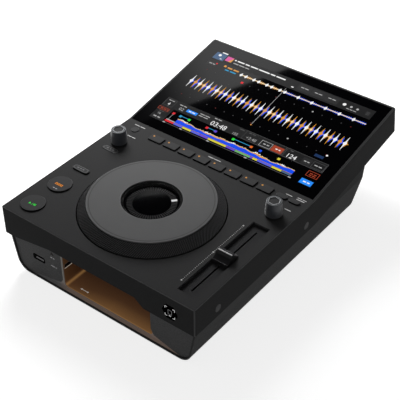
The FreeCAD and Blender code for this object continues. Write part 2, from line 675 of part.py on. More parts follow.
# Base shell
def make_tub(name, grow):
    """The tapered base as a solid, its walls moved inwards by a formula."""
    body = new_body(name)
    section = sketch_on(body, "XZ_Plane", name + "Section", "0 - (%s + base_front)" % FRONT)
    half = "(width / 2 - base_inset - (%s))" % grow
    floor = "(foot_depth + (%s))" % grow
    slope = "(base_depth - (%s)) * tan(base_lean)" % grow
    top = "(%s - plate_wall)" % DECK
    polygon(section, [
        ("0 - %s" % half, top), ("0 - %s" % half, UNDER), ("0 - %s + %s" % (half, slope), floor),
        ("%s - %s" % (half, slope), floor), (half, UNDER), (half, top),
    ])
    long = pad(body, section, "base_back - base_front + 10", reverse=True)
    low = number(floor)
    rounded = round_edges(
        body, long, name + "Corners", "base_radius - (%s)" % grow,
        lambda edge: runs_along(edge, AXIS_Y) and abs(middle_of(edge).z - low) < 0.01)
    outside = sketch_on(body, "YZ_Plane", name + "Top")
    polygon(outside, [
        ("%s - 5" % FRONT, UNDER), bend_point("slab_depth"), slab_point("screen_run + 10", "slab_depth"),
        slab_point("screen_run + 10", "0 - 20"), ("%s - 5" % FRONT, "%s + 40" % DECK),
    ])
    pocket(body, outside, "width + 10", middle=True)
    back = "(%s + base_back - (%s))" % (FRONT, grow)
    edge_z = "%s + base_bevel" % floor
    top_z = "(%s + 20)" % DECK
    rear = sketch_on(body, "YZ_Plane", name + "Rear")
    polygon(rear, [
        ("%s + (20 + 20) * tan(base_lean)" % back, top_z),
        ("%s - (%s - 20 - (%s)) * tan(base_lean)" % (back, DECK, edge_z), edge_z),
        ("%s - (%s - 20 - (%s)) * tan(base_lean) - base_bevel" % (back, DECK, edge_z), floor),
        ("%s - (%s - 20 - (%s)) * tan(base_lean) - base_bevel" % (back, DECK, edge_z), "0 - 5"),
        ("%s + 40" % back, "0 - 5"), ("%s + 40" % back, top_z),
    ])
    pocket(body, rear, "width + 10", middle=True)
    return body, rounded


def make_base_shell():
    """The base: a tub open to the slab and to the front, with a rear opening and screw holes."""
    outer, outer_round = make_tub("BaseOuter", "0")
    inner, inner_round = make_tub("BaseInner", "base_wall")
    shell = cut("BaseHollow", outer, inner)
    tools = [rear_block("RearOpening", "0 - rear_width / 2", "rear_width / 2", "0 - base_wall - 2", "3",
                        "0 - rear_height / 2", "rear_height / 2")]
    for step, (x, y) in enumerate(SCREWS):
        tools.append(post("BaseHole%d" % step, x, y, "foot_depth - 1", "%s + 1" % SEAT, "screw_radius + 0.2"))
    return piece(cut("BaseShell", shell, group("BaseTools", tools)), "base_shell")


def rear_frame(target):
    """Moves an object from the rear panel's frame: Y outwards, Z up along the leaning wall."""
    lean(target, "0 - base_lean")
    height = "(%s - rear_drop)" % DECK
    place(target, "0", "%s + base_back - (rear_drop - 20) * tan(base_lean)" % FRONT, height)
    return target


def rear_block(name, x0, x1, y0, y1, z0, z1):
    """A box in the rear panel's frame."""
    return rear_frame(group(name, [block(name + "Box", x0, x1, y0, y1, z0, z1)]))


# Circuit boards stand on standoffs, each held by a screw through the base
def corners_of(x0, x1, y0, y1, inset):
    """Four points inside a rectangle's corners."""
    return [("%s + %s" % (x0, inset), "%s + %s" % (y0, inset)), ("%s - %s" % (x1, inset), "%s + %s" % (y0, inset)),
            ("%s + %s" % (x0, inset), "%s - %s" % (y1, inset)), ("%s - %s" % (x1, inset), "%s - %s" % (y1, inset))]


MAIN_AREA = ("0 - main_width / 2", "main_width / 2", "%s + main_y" % FRONT, "%s + main_y + main_length" % FRONT)
POWER_AREA = ("power_x - power_width / 2", "power_x + power_width / 2",
              "%s + power_y" % FRONT, "%s + power_y + power_length" % FRONT)
SCREWS = corners_of(*MAIN_AREA, "standoff_radius + 2") + corners_of(*POWER_AREA, "standoff_radius + 2")


# Front plates
def make_plate_solid(name, sign, grow):
    """One front plate, grown all round: it follows the base's inner rim and the recess's mouth."""
    body = new_body(name)
    sketch = sketch_on(body, "XZ_Plane", name + "Face", "0 - (%s + front_plate_y - (%s))" % (FRONT, grow))
    inset = "(base_wall + face_gap - (%s))" % grow
    half = "(width / 2 - base_inset - %s)" % inset
    floor = "(foot_depth + %s)" % inset
    slope = "((base_depth - %s) * tan(base_lean))" % inset
    mouth = "mouth_left" if sign < 0 else "mouth_right"
    lip = LIP_LEFT if sign < 0 else LIP_RIGHT
    edge = "(%s - (%s))" % (mouth, grow)
    low = "(%s - plate_low - (%s))" % (DECK, grow)
    top = "(%s - mouth_top + 1.2 + (%s))" % (DECK, grow)

    def at(x):
        return "%d * (%s)" % (sign, x)

    polygon(sketch, [
        (at(half), top), (at(half), UNDER), (at("%s - %s" % (half, slope)), floor), (at(lip), floor),
        (at("%s + mouth_corner" % edge), low), (at(edge), "%s + 2 * mouth_corner" % low), (at(edge), top),
    ])
    plain = pad(body, sketch, "front_plate_wall + 2 * (%s)" % grow, reverse=True)
    floor_z = number(floor)
    corner_x = number("%s - %s" % (half, slope))
    round_edges(
        body, plain, name + "Corner", "base_radius - %s" % inset,
        lambda edge: runs_along(edge, AXIS_Y) and abs(middle_of(edge).z - floor_z) < 0.01
        and abs(abs(middle_of(edge).x) - corner_x) < 0.01)
    return body


def make_front_plates():
    """The two front plates, the left one with its port and lamp holes."""
    left = make_plate_solid("FrontPlateLeft", -1, "0")
    port = sketch_on(left, "XZ_Plane", "PortHole", "0 - (%s + front_plate_y) + 1" % FRONT)
    round_box(port, "0 - port_x", "%s - port_drop" % DECK, "port_width + face_gap", "port_height + face_gap",
              "port_height / 2 - 0.6")
    triangle(port, "face_gap / 2")
    pocket(left, port, "front_plate_wall + 2")
    piece(left, "front_plate_left")
    piece(make_plate_solid("FrontPlateRight", 1, "0"), "front_plate_right")


def triangle(sketch, grow):
    """The outline of the triangular lamp."""
    reach = "(mark_size / 2 + %s)" % grow
    middle = "%s - mark_drop" % DECK
    polygon(sketch, [
        ("0 - mark_x - %s" % reach, "%s - %s * 0.7" % (middle, reach)),
        ("0 - mark_x + %s" % reach, "%s - %s * 0.7" % (middle, reach)),
        ("0 - mark_x", "%s + %s" % (middle, reach)),
    ])


def make_recess_tray():
    """The bronze tray behind the mouth, with its flange behind the plates and its sloped lip."""
    front = "(%s + front_plate_y + front_plate_wall + face_gap)" % FRONT
    back = "(%s + mouth_back)" % FRONT
    body = new_body("TrayBody")
    outer = sketch_on(body, "XZ_Plane", "TrayOuter", "0 - %s" % front)
    rectangle(outer, "0 - mouth_left - tray_wall", "mouth_right + tray_wall", "%s - tray_wall" % MOUTH_FLOOR,
              "%s + tray_wall" % MOUTH_TOP)
    full = pad(body, outer, "%s - %s + tray_wall" % (back, front), reverse=True)
    low = number("%s - tray_wall" % MOUTH_FLOOR)
    round_edges(body, full, "TrayOuterCorners", "mouth_radius + tray_wall",
                lambda edge: runs_along(edge, AXIS_Y) and abs(middle_of(edge).z - low) < 0.01)
    flange = sketch_on(body, "XZ_Plane", "TrayFlange", "0 - %s" % front)
    polygon(flange, [
        ("0 - mouth_left - 9", "%s - 1" % UNDER), ("0 - mouth_left - 9", "%s - plate_low + 6" % DECK),
        ("0 - %s" % LIP_LEFT, SEAT), (LIP_RIGHT, SEAT),
        ("mouth_right + 9", "%s - plate_low + 6" % DECK), ("mouth_right + 9", "%s - 1" % UNDER),
    ])
    pad(body, flange, "tray_wall", reverse=True)
    hollow = sketch_on(body, "XZ_Plane", "TrayHollow", "1 - %s" % front)
    round_box(hollow, "(mouth_right - mouth_left) / 2", "(%s + %s) / 2" % (MOUTH_FLOOR, MOUTH_TOP),
              "mouth_left + mouth_right", "mouth_floor - mouth_top", "mouth_radius")
    pocket(body, hollow, "%s - %s + 1" % (back, front))
    upper = sketch_on(body, "XZ_Plane", "TrayHollowTop", "1 - %s" % front)
    rectangle(upper, "0 - mouth_left", "mouth_right", "(%s + %s) / 2" % (MOUTH_FLOOR, MOUTH_TOP), MOUTH_TOP)
    pocket(body, upper, "%s - %s + 1" % (back, front))
    lip_body = new_body("TrayLipBody")
    lip = sketch_on(lip_body, "YZ_Plane", "TrayLip", "0 - %s" % LIP_LEFT)
    lip_front = "(%s + front_plate_y)" % FRONT
    polygon(lip, [
        ("%s + tray_wall" % front, MOUTH_FLOOR), ("%s + %s - %s" % (lip_front, MOUTH_FLOOR, SEAT), MOUTH_FLOOR),
        (lip_front, SEAT), ("%s + tray_wall" % front, SEAT),
    ])
    pad(lip_body, lip, "%s + %s" % (LIP_LEFT, LIP_RIGHT))
    socket = block("TraySocketHole", "0 - mouth_left - tray_wall - 1", "1 - mouth_left",
                   "%s + usb_y - usb_width / 2 - face_gap / 2" % FRONT,
                   "%s + usb_y + usb_width / 2 + face_gap / 2" % FRONT,
                   "%s - usb_drop - usb_height / 2 - face_gap / 2" % DECK,
                   "%s - usb_drop + usb_height / 2 + face_gap / 2" % DECK)
    tools = [
        make_plate_solid("PlateRoomLeft", -1, "face_gap"), make_plate_solid("PlateRoomRight", 1, "face_gap"), socket,
    ]
    solid = fuse("TraySolid", [body, lip_body])
    piece(cut("RecessTray", solid, group("TrayTools", tools)), "recess_tray")


def make_sockets():
    """The side socket in the recess, the front port and its lamp, and the icon window."""
    y0 = "%s + usb_y - usb_width / 2" % FRONT
    y1 = "%s + usb_y + usb_width / 2" % FRONT
    z = "(%s - usb_drop)" % DECK
    shell = block("UsbShell", "0 - mouth_left - usb_depth", "0 - mouth_left", y0, y1,
                  "%s - usb_height / 2" % z, "%s + usb_height / 2" % z)
    space = block("UsbSpace", "0 - mouth_left - usb_depth + 2", "1 - mouth_left",
                  "%s + usb_y - usb_open_width / 2" % FRONT, "%s + usb_y + usb_open_width / 2" % FRONT,
                  "%s - usb_open_height / 2" % z, "%s + usb_open_height / 2" % z)
    tongue = block("UsbTongue", "0 - mouth_left - usb_depth + 1", "0 - mouth_left - 5",
                   "%s + usb_y - usb_open_width / 2 + 1" % FRONT, "%s + usb_y + usb_open_width / 2 - 1" % FRONT,
                   "%s + 0.6" % z, "%s + usb_open_height / 2 - 0.3" % z)
    piece(fuse("UsbSocket", [cut("UsbHollow", shell, space), tongue]), "usb_a_socket")

    port = new_body("FrontPort")
    face = "0 - (%s + front_plate_y)" % FRONT
    level = "(%s - port_drop)" % DECK
    outside = sketch_on(port, "XZ_Plane", "PortOuter", face)
    round_box(outside, "0 - port_x", level, "port_width", "port_height", "port_height / 2 - 0.7")
    pad(port, outside, "port_depth", reverse=True)
    inside = sketch_on(port, "XZ_Plane", "PortInner", face)
    round_box(inside, "0 - port_x", level, "port_width - 2 * port_rim", "port_height - 2 * port_rim",
              "port_height / 2 - port_rim - 0.7")
    pocket(port, inside, "port_depth - 1")
    blade = sketch_on(port, "XZ_Plane", "PortTongue", "%s - 3" % face)
    rectangle(blade, "0 - port_x - port_width * 0.34", "0 - port_x + port_width * 0.34",
              "%s - 0.8" % level, "%s + 0.8" % level)
    pad(port, blade, "port_depth - 3.5", reverse=True)
    piece(port, "front_port_socket")

    lamp = new_body("PortLamp")
    shape = sketch_on(lamp, "XZ_Plane", "LampFace", face)
    triangle(shape, "0")
    pad(lamp, shape, "front_plate_wall", reverse=True)
    piece(lamp, "port_indicator")

    icon = new_body("IconWindow")
    outline = sketch_on(icon, "XZ_Plane", "IconFace", "0 - %s" % FRONT)
    hexagon(outline, "0")
    pad(icon, outline, "icon_wall", reverse=True)
    piece(icon, "icon_window")


def make_side_plugs():
    """Four round plugs in the slab's sides."""
    plugs = []
    for side, x in (("Right", "width / 2 - plug_wall"), ("Left", "0 - width / 2")):
        for y in ("plug_front", "plug_back"):
            plug = doc.addObject("Part::Cylinder", "Plug%s_%s" % (side, y))
            bind(plug, "Radius", "plug_radius")
            bind(plug, "Height", "plug_wall")
            plug.Placement = FreeCAD.Placement(FreeCAD.Vector(), FreeCAD.Rotation(FreeCAD.Vector(0, 1, 0), 90))
            plugs.append(place(plug, x, "%s + %s" % (FRONT, y), "%s - plug_drop" % DECK))
    piece(group("SidePlugs", plugs), "side_plugs")


# Screen
def on_screen(target):
    """Moves an object from the screen's frame: origin at the bend, Y up the slope, Z out of the glass."""
    lean(target, "tilt")
    return place(target, "0", BEND, DECK)


def make_screen():
    """Glass in its seat, the lit panel under it, and the bracket that carries the panel."""
    edge = "(width / 2 - glass_margin - face_gap / 2)"
    glass = block("GlassBox", "0 - %s" % edge, edge, "face_gap * 1.5", "screen_run - glass_margin - face_gap / 2",
                  "0 - glass_wall", "0")
    piece(on_screen(group("DisplayGlass", [glass])), "display_glass")
    side = "(glass_margin + glass_ledge + panel_margin)"
    panel = block("PanelBox", "0 - width / 2 + %s" % side, "width / 2 - %s" % side, "glass_ledge + panel_margin",
                  "screen_run - %s" % side, "0 - glass_wall - panel_wall - face_gap", "0 - glass_wall - face_gap")
    piece(on_screen(group("DisplayPanel", [panel])), "display_panel")
    deep = "(glass_wall + panel_wall + 2 * face_gap)"
    reach = "(glass_margin + glass_ledge - 3)"
    pan = block("BracketOuter", "0 - width / 2 + %s" % reach, "width / 2 - %s" % reach, "glass_ledge - 3",
                "screen_run - %s" % reach, "0 - %s - bracket_wall" % deep, "0 - plate_wall - face_gap")
    room = block("BracketRoom", "0 - width / 2 + %s + bracket_wall" % reach, "width / 2 - %s - bracket_wall" % reach,
                 "glass_ledge - 3 + bracket_wall", "screen_run - %s - bracket_wall" % reach, "0 - %s" % deep, "1")
    piece(on_screen(group("DisplayBracket", [cut("BracketPan", pan, room)])), "display_bracket")


# Jog
def jog_piece(name, label, points):
    """A round piece of the jog: outline points are radius, and height over the deck."""
    body = turned(name, points)
    place(body, "0", JOG_Y, DECK)
    return piece(body, label)


def make_jog():
    """The turning ring and plate, the fixed post with its display, and the pan round them."""
    bush_in = "(jog_post_radius + running_gap)"
    bush_out = "(jog_post_radius + jog_bush_wall)"
    hub_in = "(%s + running_gap)" % bush_out
    hub_out = "(%s + jog_hub_wall)" % hub_in
    pan_floor = "(0 - jog_pan_drop)"
    web_top = "(0 - jog_web_drop)"
    web_low = "(0 - jog_web_drop - jog_web_wall)"
    plate_low = "(jog_rise - jog_plate_wall)"
    lean_in = "(jog_ring_radius - jog_top_radius)"
    jog_piece("JogRing", "jog_ring", [
        (hub_in, "%s + 4" % pan_floor), (hub_out, "%s + 4" % pan_floor), (hub_out, web_low),
        ("jog_ring_radius", web_low), ("jog_ring_radius", "0.6"), ("jog_top_radius + 0.5", plate_low),
        ("jog_hole + 12", plate_low), ("jog_hole + 12", "%s - jog_web_wall" % plate_low),
        ("jog_top_radius - 2", "%s - jog_web_wall" % plate_low),
        ("jog_ring_radius - jog_web_wall", "0"), ("jog_ring_radius - jog_web_wall", web_top), (hub_in, web_top),
    ])
    jog_piece("JogPlate", "jog_plate", [
        ("jog_hole", plate_low), ("jog_top_radius", plate_low), ("jog_top_radius", "jog_rise - 0.7"),
        ("jog_top_radius - 0.7", "jog_rise"), ("jog_top_radius - 3.2", "jog_rise"),
        ("jog_top_radius - 3.5", "jog_rise - 0.3"), ("jog_top_radius - 3.8", "jog_rise"),
        ("jog_hole", "jog_rise"),
    ])
    jog_piece("JogEncoderDisc", "jog_encoder_disc", [
        ("%s + 0.1" % hub_out, "%s - 1" % web_low), ("%s + 24" % hub_out, "%s - 1" % web_low),
        ("%s + 24" % hub_out, web_low), ("%s + 0.1" % hub_out, web_low),
    ])
    post_in = "(jog_post_radius - jog_post_wall)"
    shelf = "(jog_rise - 0.4 - jog_window_wall)"
    display_top = "(%s - jog_display_drop)" % shelf
    jog_piece("JogPost", "jog_post", [
        ("%s - 6" % post_in, "%s" % pan_floor), ("jog_post_radius + 7", pan_floor),
        ("jog_post_radius + 7", "%s + 2" % pan_floor), ("jog_post_radius", "%s + 2" % pan_floor),
        ("jog_post_radius", shelf),
        (post_in, shelf), (post_in, "%s - 3" % display_top), ("%s - 4" % post_in, "%s - 3" % display_top),
        ("%s - 4" % post_in, "%s - 5" % display_top), (post_in, "%s - 5" % display_top),
        (post_in, "%s + 2" % pan_floor), ("%s - 6" % post_in, "%s + 2" % pan_floor),
    ])
    jog_piece("JogBush", "jog_bush", [
        (bush_in, "%s + 2" % pan_floor), ("%s + 4" % bush_out, "%s + 2" % pan_floor),
        ("%s + 4" % bush_out, "%s + 3.7" % pan_floor), (bush_out, "%s + 3.7" % pan_floor), (bush_out, web_top),
        (bush_in, web_top),
    ])
    jog_piece("JogWindow", "jog_window", [
        ("0", shelf), ("jog_post_radius", shelf), ("jog_post_radius", "jog_rise - 0.4"), ("0", "jog_rise - 0.4"),
    ])
    jog_piece("JogDisplay", "jog_display", [
        ("0", "%s - 3" % display_top), ("%s - 0.2" % post_in, "%s - 3" % display_top),
        ("%s - 0.2" % post_in, display_top), ("0", display_top),
    ])
    jog_piece("JogPan", "jog_pan", [
        ("jog_post_radius - jog_post_wall - 6", "%s - jog_pan_wall" % pan_floor),
        ("jog_gap_radius + jog_pan_wall", "%s - jog_pan_wall" % pan_floor),
        ("jog_gap_radius + jog_pan_wall", "0 - plate_wall - face_gap - jog_pan_wall"),
        ("jog_gap_radius + jog_pan_wall + jog_pan_rim", "0 - plate_wall - face_gap - jog_pan_wall"),
        ("jog_gap_radius + jog_pan_wall + jog_pan_rim", "0 - plate_wall - face_gap"),
        ("jog_gap_radius", "0 - plate_wall - face_gap"), ("jog_gap_radius", pan_floor),
        ("jog_post_radius - jog_post_wall - 6", pan_floor),
    ])
    x0 = "%s + 8" % hub_out
    board = block("SensorBoard", x0, "%s + 18" % x0, "%s - 10" % JOG_Y, "%s + 10" % JOG_Y,
                  "%s + %s" % (DECK, pan_floor), "%s + %s + board_wall" % (DECK, pan_floor))
    reader = block("SensorReader", "%s + 5" % x0, "%s + 13" % x0, "%s - 4" % JOG_Y, "%s + 4" % JOG_Y,
                   "%s + %s + board_wall" % (DECK, pan_floor), "%s + %s - 2" % (DECK, web_low))
    piece(fuse("JogSensor", [board, reader]), "jog_sensor")


# Buttons
def make_buttons():
    """Each button: a cap through the deck, a flange under it that holds it in, and a post over its switch."""
    for label, x, y, shape, size, rise, flange in BUTTONS:
        name = label.title().replace("_", "")
        body = new_body(name)
        cap = sketch_on(body, "XY_Plane", name + "Cap", "0 - plate_wall - face_gap - button_flange")
        button_outline(cap, shape, size, "0", "0", "0")
        tall = pad(body, cap, "(%s) + plate_wall + face_gap + button_flange" % rise)
        top = number("(%s)" % rise)
        round_edges(body, tall, name + "Edge", "0.5", lambda edge, top=top: middle_of(edge).z > top - 0.01, "Chamfer")
        rim = sketch_on(body, "XY_Plane", name + "Rim", "0 - plate_wall - face_gap - button_flange")
        button_outline(rim, shape, size, "0", "0", flange)
        pad(body, rim, "button_flange")
        stem = sketch_on(body, "XY_Plane", name + "Stem",
                         "0 - board_drop + board_wall + switch_rise + button_travel + 0.1")
        circle(stem, "0", "0", "1.6")
        pad(body, stem, "board_drop - board_wall - switch_rise - button_travel - plate_wall")
        place(body, x, y, DECK)
        piece(body, label)


def make_button_boards():
    """The two boards under the deck, with a switch below each button."""
    top = "(%s - board_drop + board_wall)" % DECK
    areas = (("LeftButtonBoard", "left_button_board", LEFT_BOARD, BUTTONS[:4]),
             ("TopButtonBoard", "top_button_board", TOP_BOARD, BUTTONS[4:]))
    for name, label, area, buttons in areas:
        parts = [block(name + "Plate", *area, "%s - board_wall" % top, top)]
        for step, (button, x, y, *rest) in enumerate(buttons):
            half = "switch_size / 2"
            parts.append(block("%sSwitch%d" % (name, step), "(%s) - %s" % (x, half), "(%s) + %s" % (x, half),
                               "(%s) - %s" % (y, half), "(%s) + %s" % (y, half), top, "%s + switch_rise - 0.8" % top))
            parts.append(post("%sPlunger%d" % (name, step), x, y, top, "%s + switch_rise" % top, "1.7"))
        piece(fuse(name, parts), label)


# Dials
def make_dials():
    """Two dials: a knob turning on a shaft that slides down in its encoder's bush."""
    under = "(0 - plate_wall - face_gap)"
    for side, x in (("left", "0 - left_x"), ("right", "right_x")):
        name = side.title()
        knob = turned(name + "Knob", [
            ("shaft_radius + running_gap", "dial_gap"), ("dial_radius - 0.5", "dial_gap"),
            ("dial_radius", "dial_gap + 0.8"), ("dial_radius", "dial_rise * 0.6"),
            ("dial_top_radius", "dial_rise - 0.8"), ("dial_top_radius - 0.8", "dial_rise"),
            ("dial_top_radius - 2", "dial_rise"), ("dial_top_radius - 3.5", "dial_rise - dial_dish"),
            ("0", "dial_rise - dial_dish"), ("0", "shaft_rise + face_gap"),
            ("shaft_radius + running_gap", "shaft_rise + face_gap"),
        ])
        place(knob, x, DIAL_Y, DECK)
        piece(knob, side + "_knob")
        foot = "(%s - encoder_depth + 1.5 + dial_travel)" % under
        shaft = post(name + "Shaft", x, DIAL_Y, "%s + %s" % (DECK, foot), "%s + shaft_rise" % DECK, "shaft_radius")
        piece(shaft, side + "_shaft")
        case = block(name + "EncoderCase", "(%s) - encoder_size / 2" % x, "(%s) + encoder_size / 2" % x,
                     "%s - encoder_size / 2" % DIAL_Y, "%s + encoder_size / 2" % DIAL_Y,
                     "%s + %s - encoder_depth" % (DECK, under), "%s + %s" % (DECK, under))
        bush = post(name + "EncoderBush", x, DIAL_Y, "%s + %s - 1" % (DECK, under), DECK, "bush_radius")
        bore = post(name + "EncoderBore", x, DIAL_Y, "%s + %s - encoder_depth + 1.2" % (DECK, under), "%s + 1" % DECK,
                    "shaft_radius + running_gap")
        piece(cut(name + "Encoder", fuse(name + "EncoderSolid", [case, bush]), bore), side + "_encoder")


# Tempo slider
def make_slider():
    """The trough in the deck, the fader unit under it, its carriage on a rod, and the cap."""
    x = "right_x"
    floor = "(%s - trough_depth)" % DECK
    gap = "face_gap / 2"
    wide = "(trough_width / 2 - %s)" % gap
    long = "(trough_length / 2 - %s)" % gap
    rim = block("TroughRim", "%s - %s - 1.5" % (x, wide), "%s + %s + 1.5" % (x, wide),
                "%s - %s - 2.5" % (TROUGH_Y, long), "%s + %s + 2.5" % (TROUGH_Y, long),
                "%s - trough_wall" % floor, "%s - plate_wall - face_gap" % DECK)
    wall = block("TroughWall", "%s - %s" % (x, wide), "%s + %s" % (x, wide), "%s - %s" % (TROUGH_Y, long),
                 "%s + %s" % (TROUGH_Y, long), "%s - trough_wall" % floor, "%s - edge_bevel" % DECK)
    room = block("TroughRoom", "%s - %s + 0.8" % (x, wide), "%s + %s - 0.8" % (x, wide),
                 "%s - %s + 0.8" % (TROUGH_Y, long), "%s + %s - 0.8" % (TROUGH_Y, long), floor, "%s + 1" % DECK)
    slot = block("TroughSlot", "%s - slot_width / 2" % x, "%s + slot_width / 2" % x,
                 "%s - slot_length / 2" % TROUGH_Y, "%s + slot_length / 2" % TROUGH_Y,
                 "%s - trough_wall - 1" % floor, "%s + 1" % floor)
    solid = fuse("TroughSolid", [rim, wall])
    piece(cut("SliderTrough", solid, group("TroughTools", [room, slot])), "slider_trough")

    top = "(%s - trough_wall - face_gap)" % floor
    reach = "(slot_length / 2 + 8)"
    can = block("CanOuter", "%s - can_width / 2" % x, "%s + can_width / 2" % x, "%s - %s" % (TROUGH_Y, reach),
                "%s + %s" % (TROUGH_Y, reach), "%s - can_depth" % top, top)
    inside = block("CanInner", "%s - can_width / 2 + can_wall" % x, "%s + can_width / 2 - can_wall" % x,
                   "%s - %s + can_wall" % (TROUGH_Y, reach), "%s + %s - can_wall" % (TROUGH_Y, reach),
                   "%s - can_depth + can_wall" % top, "%s - can_wall" % top)
    mouth = block("CanSlot", "%s - slot_width" % x, "%s + slot_width" % x, "%s - slot_length / 2 - 1" % TROUGH_Y,
                  "%s + slot_length / 2 + 1" % TROUGH_Y, "%s - can_wall - 1" % top, "%s + 1" % top)
    axle_z = "(%s - can_depth / 2 - 1)" % top
    rod = doc.addObject("Part::Cylinder", "SliderRod")
    bind(rod, "Radius", "rod_radius")
    bind(rod, "Height", "2 * %s" % reach)
    rod.Placement = FreeCAD.Placement(FreeCAD.Vector(), FreeCAD.Rotation(AXIS_X, -90))
    place(rod, x, "%s - %s" % (TROUGH_Y, reach), axle_z)
    shell = cut("CanShell", can, group("CanTools", [inside, mouth]))
    piece(fuse("SliderUnit", [shell, rod]), "slider_unit")

    runner = block("Runner", "%s - 4.5" % x, "%s + 4.5" % x, "%s - 6.5" % TROUGH_Y, "%s + 6.5" % TROUGH_Y,
                   "%s - 4" % axle_z, "%s + 4" % axle_z)
    stem = block("RunnerStem", "%s - stem_wall / 2" % x, "%s + stem_wall / 2" % x, "%s - stem_length / 2" % TROUGH_Y,
                 "%s + stem_length / 2" % TROUGH_Y, "%s + 3" % axle_z, "%s + 4" % DECK)
    bore = doc.addObject("Part::Cylinder", "RunnerBore")
    bind(bore, "Radius", "rod_radius + running_gap")
    bind(bore, "Height", "2 * stem_length + 4")
    bore.Placement = FreeCAD.Placement(FreeCAD.Vector(), FreeCAD.Rotation(AXIS_X, -90))
    place(bore, x, "%s - stem_length - 2" % TROUGH_Y, axle_z)
    piece(cut("TempoCarriage", fuse("RunnerSolid", [runner, stem]), bore), "tempo_carriage")

    low = "(face_gap * 2 - trough_depth)"
    half = "tempo_cap_length / 2"
    cap = new_body("TempoCap")
    profile = sketch_on(cap, "YZ_Plane", "CapSide", "0 - tempo_cap_width / 2")
    polygon(profile, [
        ("0 - %s" % half, low), (half, low), (half, "tempo_cap_rise * 0.2"),
        ("%s - 3.2" % half, "tempo_cap_rise * 0.36"),
        ("tempo_ridge / 2 + 1", "tempo_cap_rise * 0.62"), ("tempo_ridge / 2", "tempo_cap_rise - 0.6"),
        ("tempo_ridge / 2 - 0.6", "tempo_cap_rise"), ("0.6 - tempo_ridge / 2", "tempo_cap_rise"),
        ("0 - tempo_ridge / 2", "tempo_cap_rise - 0.6"), ("0 - tempo_ridge / 2 - 1", "tempo_cap_rise * 0.62"),
        ("3.2 - %s" % half, "tempo_cap_rise * 0.36"), ("0 - %s" % half, "tempo_cap_rise * 0.2"),
    ])
    pad(cap, profile, "tempo_cap_width")
    hole = sketch_on(cap, "XY_Plane", "CapHole", "%s - 1" % low)
    rectangle(hole, "0 - stem_wall / 2", "stem_wall / 2", "0 - stem_length / 2", "stem_length / 2")
    pocket(cap, hole, "1 + trough_depth - face_gap * 2 + 4", reverse=True)
    place(cap, x, TROUGH_Y, DECK)
    piece(cap, "tempo_cap")


# Boards in the base
def make_boards():
    """The main and power boards with their larger components, the standoffs and the screws."""
    top = "(%s + standoff_rise + board_wall)" % SEAT
    main = [block("MainPlate", *MAIN_AREA, "%s - board_wall" % top, top)]
    chips = [
        (-0.35, -0.17, 0.23, 0.49, 0.75), (-0.01, 0.12, 0.23, 0.41, 0.4), (0.22, 0.3, 0.19, 0.35, 0.25),
        (-0.26, 0.05, 0.61, 0.72, 1), (0.16, 0.37, 0.65, 0.74, 1.25),
    ]
    for step, (x0, x1, y0, y1, tall) in enumerate(chips):
        main.append(block(
            "MainChip%d" % step, "main_width * %g" % x0, "main_width * %g" % x1,
            "%s + main_length * %g" % (MAIN_AREA[2], y0), "%s + main_length * %g" % (MAIN_AREA[2], y1),
            "%s - board_wall / 8" % top, "%s + standoff_rise * %g" % (top, tall)))
    piece(fuse("MainBoard", main), "main_board")
    power = [block("PowerPlate", *POWER_AREA, "%s - board_wall" % top, top)]
    parts = [(-0.38, -0.12, 0.19, 0.6, 3), (0.03, 0.2, 0.16, 0.65, 2.2), (0.29, 0.41, 0.22, 0.41, 2.8),
             (0.29, 0.41, 0.49, 0.68, 2.8)]
    for step, (x0, x1, y0, y1, tall) in enumerate(parts):
        power.append(block(
            "PowerPart%d" % step, "power_x + power_width * %g" % x0, "power_x + power_width * %g" % x1,
            "%s + power_length * %g" % (POWER_AREA[2], y0), "%s + power_length * %g" % (POWER_AREA[2], y1),
            "%s - board_wall / 8" % top, "%s + standoff_rise * %g" % (top, tall)))
    piece(fuse("PowerBoard", power), "power_board")
    standoffs = []
    screws = []
    for step, (x, y) in enumerate(SCREWS):
        body = post("Standoff%d" % step, x, y, SEAT, "%s + standoff_rise" % SEAT, "standoff_radius")
        bore = post("StandoffBore%d" % step, x, y, "%s - 1" % SEAT, "%s + standoff_rise - 1.5" % SEAT,
                    "screw_radius + running_gap")
        standoffs.append(cut("StandoffTube%d" % step, body, bore))
        shank = post("ScrewShank%d" % step, x, y, "foot_depth - 0.5", "%s + standoff_rise - 3" % SEAT, "screw_radius")
        head = post("ScrewHead%d" % step, x, y, "foot_depth - screw_head_rise", "foot_depth", "screw_head_radius")
        screws.append(fuse("Screw%d" % step, [shank, head]))
    piece(group("BoardStandoffs", standoffs), "board_standoffs")
    piece(group("BaseScrews", screws), "base_screws")


def make_feet():
    """Four rubber feet under the base."""
    feet = []
    for x in ("0 - foot_x", "foot_x"):
        for y in ("foot_front", "foot_back"):
            foot = doc.addObject("Part::Cone", "Foot%d" % len(feet))
            bind(foot, "Radius1", "foot_radius - 0.6")
            bind(foot, "Radius2", "foot_radius")
            bind(foot, "Height", "foot_depth")
            feet.append(place(foot, x, "%s + %s" % (FRONT, y), "0"))
    piece(group("RubberFeet", feet), "rubber_feet")


